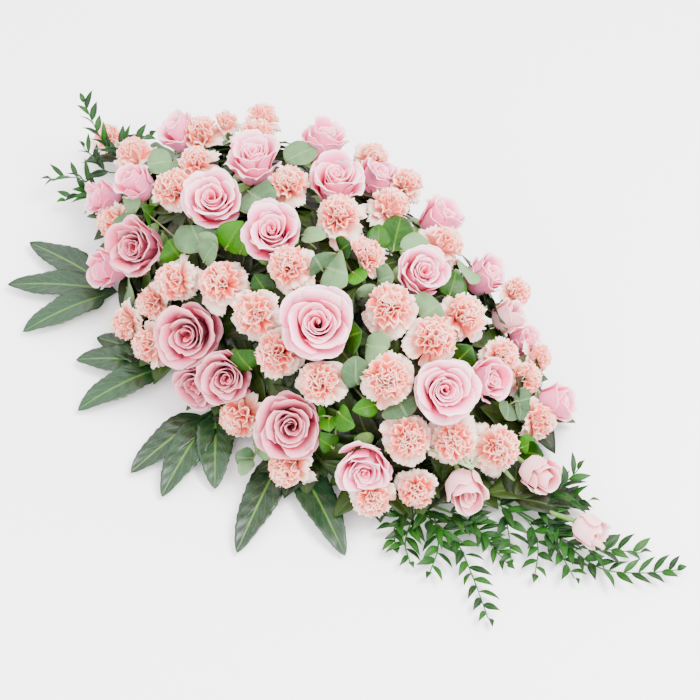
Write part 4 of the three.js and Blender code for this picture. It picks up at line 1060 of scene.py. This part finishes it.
def flank_spray(name, index, outline, width, finish):
    """A leafy stem low along the far side: a fan of leaves at each knot."""
    leaves, twigs = Build(), Build()
    roll = dice(800 + index)
    knots = []
    for cell in flank_cells[index]:
        knot = cell.kept(cell.normal[None, :] * -FLANK_KNOT)[0] + cell.centre
        knots.append(knot)
        across = unit(np.cross(UPWARD, cell.normal))
        rising = np.cross(cell.normal, across)
        for k in range(FLANK_LEAVES):
            angle = ((k + 0.5 * roll()) / FLANK_LEAVES) * TURN
            out = swung(across, rising, angle)
            low = out * 6 - cell.normal * 2
            high = out * FLANK_REACH * 1.3 + cell.normal * (4 + 8 * roll())
            cluster_leaf(leaves, twigs, cell, knot, low, high, width, outline, 0.2 * k + 0.1, TURN * 0.3)
    middle = np.mean(knots, axis=0)
    root = np.array([middle[0], TRAY_WIDTH / 2 - FLANK_ROOT, FLANK_HEIGHT])
    fork = np.array([middle[0], TRAY_WIDTH / 2 + FLANK_FORK, FLANK_HEIGHT])
    forked(twigs, knots, root, fork)
    leafy_pieces(name, leaves, twigs, finish)


leafy_sprays("broad_leaf", BROAD_STEMS, broad_cells, tapering, BROAD_SHIFTS, broad_green, 900)
flank_spray("broad_leaf_spray_5", 1, tapering, 24, broad_green)


# Eucalyptus. Cut stems of round matt leaves, grey-green with a bloom of wax, on thin brownish twigs that
# go into the foam; one spray lies low along the far side to hide the tray.
ROUND_SHIFTS = {0: (-12, 0, 0), 2: (-6, -6, 0), 3: (8, 6, 0), 5: (12, 4, 0), 6: (4, 0, 0)}
eucalyptus_green = leaf_finish(
    "eucalyptus_leaf", (42, 72, 42), (96, 130, 86), (128, 156, 108), (120, 112, 70),
    gloss=0.6, veins=5.0, slant=1.2, marked=0.3, polish=0.3,
)
leafy_sprays("eucalyptus", ROUND_STEMS, round_cells, rounded, ROUND_SHIFTS, eucalyptus_green, 920)
flank_spray("eucalyptus_spray_8", 0, rounded, 34, eucalyptus_green)


# Aralia. Large leathery hand-shaped leaves, deep blue-green with pale veins, laid flat under the near
# side; their toothed lobes spread over the table from a heart, and the stalks go into the foam's side.

# Column and row of each leaf's heart and of its lobes' tips, and how far its stalk is set along the tray
HAND_LEAVES = [
    ((118, 292), ((30, 243), (8, 285), (23, 332)), 5),
    ((168, 366), ((97, 338), (76, 360), (78, 410)), 0),
    ((216, 408), ((131, 473), (162, 496), (215, 488)), 0),
    ((288, 446), ((237, 552), (345, 555)), 0),
]
LOBE_GRID = (np.linspace(0, 1, 46)[:, None], np.linspace(-1, 1, 11)[None, :])
LOBE_WIDTH = 42
LOBE_TEETH = 11
NOTCH_SHARE = 0.16
END_NOTCH = -0.4
aralia_green = leaf_finish(
    "aralia_leaf", (2, 26, 10), (18, 54, 26), (84, 128, 36), (12, 42, 18),
    gloss=0.3, veins=7.0, slant=2.2, marked=0.55,
)
for index, (heart_mark, tip_marks, shift) in enumerate(HAND_LEAVES):
    leaf, stalk = Build(), Build()
    heart = at_height(*heart_mark, HAND_HEIGHT)
    tips = [at_height(column, row, HAND_HEIGHT + 3) for column, row in tip_marks]
    between = [lerp(a, b, 0.5) for a, b in zip(tips, tips[1:])]
    ends = [lerp(tips[0], tips[1], END_NOTCH), lerp(tips[-1], tips[-2], END_NOTCH)]
    notches = [lerp(heart, mark, NOTCH_SHARE) for mark in (ends[0], *between, ends[1])]
    for k, tip in enumerate(tips):
        t, u = LOBE_GRID
        along = tip - heart
        across = unit(np.cross(along, UPWARD))
        up = np.cross(across, unit(along))
        middle = heart + t * along + up * (6 + k) * 4 * t * (1 - t)
        tooth = (t * LOBE_TEETH) % 1.0
        half = LOBE_WIDTH / 2 * np.sin(np.pi * t ** 0.85) ** 0.65 * (1 - 0.08 * tooth * (t > 0.3))
        free = smooth((t - NOTCH_SHARE) / 0.14)
        edges = []
        for notch, way in ((notches[k + 1], -1), (notches[k], 1)):
            inner = lerp(heart, notch, np.minimum(t / NOTCH_SHARE, 1))
            edges.append(lerp(inner, middle + across * way * half, free))
        share = np.abs(u)[..., None]
        edge = np.where((u < 0)[..., None], edges[0][:, None], edges[1][:, None])
        grid = lerp(middle[:, None], edge, share)
        lift = 0.14 * half * np.abs(u) + 1.6 * np.sin(TURN * 2.2 * t + k + index) * u ** 2 * free
        lift = lift + 0.5 * np.sin(TURN * 9 * t - 6 * np.abs(u)) * np.abs(u) * (1 - np.abs(u)) * 4 * free
        grid = grid + lift[..., None] * up
        leaf.sheet(grid, measured(t, u, 0.5, 0.3 + 0.2 * k), 0.6)

    # The stalk lies on the table, climbs the tray's wall and goes into the foam's side
    side = math.copysign(1, heart[1])
    foot = heart[0] * 0.85 + shift
    wall = np.array([foot, side * (TRAY_WIDTH / 2 + 12), HAND_HEIGHT + 4])
    over = np.array([foot, side * (TRAY_WIDTH / 2 + 10), FOAM_TOP - 26])
    root = np.array([foot, side * (TRAY_WIDTH / 2 - 26), FOAM_TOP - 30])
    stalk.tube([heart, lerp(heart, wall, 0.5), wall, lerp(wall, over, 0.5), over, root], LEAF_STEM / 2)
    name = "aralia_leaf_%d" % (index + 1)
    leaf.piece(name + "_blade", aralia_green, "leaf_aralia", [name])
    stalk.piece(name + "_stalk", cane_green, "stem_green", [name])


# Soft ruscus. Thin wiry green stems with narrow pointed leaflets set alternately, one group behind
# the head end and two that trail over the table from the pointed end. The stems fork by the foam.

# For each group: where it leaves the foam, forks and bends down, then each branch's marks in the photo's
# frame with their heights
RUSCUS_GROUPS = [
    ((-214, 10, 66), (-250, 4, 58), (-290, 6, 54), [
        [(118, 158, 66), (102, 140, 88), (84, 103, 112)],
        [(106, 196, 20), (80, 178, 36), (52, 180, 34)],
        [(122, 152, 70), (134, 142, 84), (150, 136, 92)],
        [(104, 198, 26), (86, 192, 24), (66, 200, 20)],
        [(108, 172, 50), (96, 160, 60), (84, 148, 66)],
    ]),
    ((206, -34, 62), (250, -46, 44), (256, -74, 12), [
        [(424, 512, 11), (455, 540, 10), (470, 570, 8), (488, 618, 6)],
        [(412, 520, 11), (405, 545, 10), (410, 562, 8)],
        [(468, 520, 11), (486, 540, 9), (508, 564, 8)],
        [(436, 522, 12), (438, 548, 9), (430, 572, 8)],
        [(404, 512, 14), (394, 530, 12), (396, 548, 9)],
        [(450, 512, 14), (476, 528, 11), (494, 546, 8)],
        [(500, 505, 16), (508, 530, 12), (511, 560, 8)],
    ]),
    ((216, -14, 58), (250, -10, 48), (292, -14, 12), [
        [(545, 527, 11), (600, 568, 9), (640, 573, 7), (677, 570, 6)],
        [(530, 524, 11), (538, 548, 10), (535, 574, 7)],
        [(560, 500, 12), (574, 500, 16), (588, 502, 18)],
        [(546, 530, 12), (562, 556, 9), (574, 578, 8)],
        [(536, 508, 16), (554, 524, 12), (566, 544, 10)],
        [(584, 548, 11), (614, 550, 10), (640, 553, 8)],
        [(548, 496, 24), (564, 484, 24), (578, 470, 24)],
    ]),
]
RUSCUS_STEM = 2.8
LEAFLET_LENGTH = 34
LEAFLET_WIDTH = 10
LEAFLET_STEP = 6.5
TIP_SHARE = 0.66
WIRE_STEP = 7
BRANCH_STEPS = 50
ruscus_green = leaf_finish(
    "ruscus_leaflet", (2, 30, 5), (20, 70, 10), (56, 108, 26), (14, 54, 10),
    gloss=0.36, veins=2.0, slant=0.4, polish=0.22,
)
wiry_green = green_finish("ruscus_stem", (20, 70, 14), (60, 112, 32), 0.45)


def lance(t):
    """The outline of a leaflet."""
    return np.sin(np.pi * np.clip(t * 0.99 + 0.005, 0, 1) ** 0.8) ** 1.05


for index, (root, fork, lead, branches) in enumerate(RUSCUS_GROUPS):
    roll = dice(700 + index)
    leaflets, wires = Build(), Build()
    wires.tube([fork, lerp(np.array(fork), np.array(root), 0.5), root], LEAF_STEM / 2)
    for branch in branches:
        path = curved([fork, lead, *[at_height(*mark) for mark in branch]], BRANCH_STEPS, even=False)
        reached = np.append(0, np.cumsum(np.linalg.norm(np.diff(path, axis=0), axis=1)))
        length = reached[-1]
        bare = reached[2 * BRANCH_STEPS]
        even = np.linspace(0, length, max(round(length / WIRE_STEP), 4))
        wire = np.stack([np.interp(even, reached, path[:, n]) for n in range(3)], -1)
        wires.tube(wire, np.linspace(RUSCUS_STEM / 2, RUSCUS_STEM / 4, len(wire)), 6)

        # Its leaflets stand to one side and the other, closer by its foot, and one ends it
        count = int((length - bare) // LEAFLET_STEP)
        for k in range(count + 1):
            here = bare + (length - bare) * (k / count) ** 1.25
            marks = [np.interp((here, here - 12), reached, path[:, n]) for n in range(3)]
            foot, behind = np.stack(marks, -1)
            along = unit(foot - behind)
            side = unit(np.cross(along, UPWARD)) * (0 if k == count else 0.9 if k % 2 else -0.9)
            away = unit(along + side + np.array([0, 0, 0.25 + 0.3 * roll()]))
            grown = lerp(1, TIP_SHARE, k / count)
            long = LEAFLET_LENGTH * grown * (0.75 + 0.4 * roll()) * (0.6 if k == count else 1)
            tip = foot + away * long
            tip[2] = max(tip[2], HAND_HEIGHT)
            width = LEAFLET_WIDTH * grown * (0.8 + 0.4 * roll())
            tilted = unit(np.append(several(roll, 2) - 0.5, 1))
            blade = leaf_blade(foot, tip, width, tilted, lance, 2.5, 0.25, 0.3, k, SMALL_GRID)
            leaflets.sheet(blade, measured(*SMALL_GRID, 0.5, (0.37 * k) % 1), 0.4)
    name = "ruscus_spray_%d" % (index + 1)
    leaflets.piece(name + "_leaflets", ruscus_green, "leaf_ruscus", [name])
    wires.piece(name + "_stems", wiry_green, "stem_green", [name])


# Floor. The plain pale table top that the tray stands on, one matt painted sheet that reaches far past
# the camera's view on every side. It is part of the stage and not of the spray.
FLOOR_HALF = 6
floor_mesh = bpy.data.meshes.new("floor")
corners = [(x * FLOOR_HALF, y * FLOOR_HALF, 0) for x, y in ((-1, -1), (1, -1), (1, 1), (-1, 1))]
floor_mesh.from_pydata(corners, [], [(0, 1, 2, 3)])
floor = bpy.data.objects.new("floor", floor_mesh)
bpy.context.scene.collection.objects.link(floor)
table = Finish("table_top")
floor_mesh.materials.append(table.surface({"Base Color": (0.9, 0.9, 0.9, 1), "Roughness": 0.7}))


# Light. A white studio that lights the spray softly from all round, with two softboxes: one high on
# the right for the gloss on the leaves, and a wide weak one on the near side that opens the shadows.
STUDIO_LIGHT = 3.6
SOFTBOXES = [((0.9, 0.5, 2.0), 1.0, 120), ((0.6, -1.6, 1.6), 1.6, 40)]


def hang(name, data, place, right, up, back):
    """Puts a lamp or the camera at a place in metres, looking the other way from back."""
    made = bpy.data.objects.new(name, data)
    made.matrix_world = Matrix.Translation(place) @ Matrix([right, up, back]).transposed().to_4x4()
    bpy.context.scene.collection.objects.link(made)
    return made


world = bpy.data.worlds.new("studio")
world.use_nodes = True
background = world.node_tree.nodes["Background"]
background.inputs["Color"].default_value = (1.0, 1.0, 1.0, 1.0)
background.inputs["Strength"].default_value = STUDIO_LIGHT
bpy.context.scene.world = world
for place, size, power in SOFTBOXES:
    lamp = bpy.data.lights.new("softbox", "AREA")
    lamp.size = size
    lamp.energy = power
    back = unit(np.array(place))
    right = unit(np.cross(UPWARD, back))
    hang("softbox", lamp, place, right, np.cross(back, right), back)


# Camera. Two metres off, at the height and on the side that the photograph was taken from; its lens
# gives the frame that the columns and rows of the mound are read in.
lens = bpy.data.cameras.new("camera")
lens.lens = 93.5
lens.sensor_width = 36
bpy.context.scene.camera = hang("camera", lens, view_eye * MM, view_right, view_up, view_back)
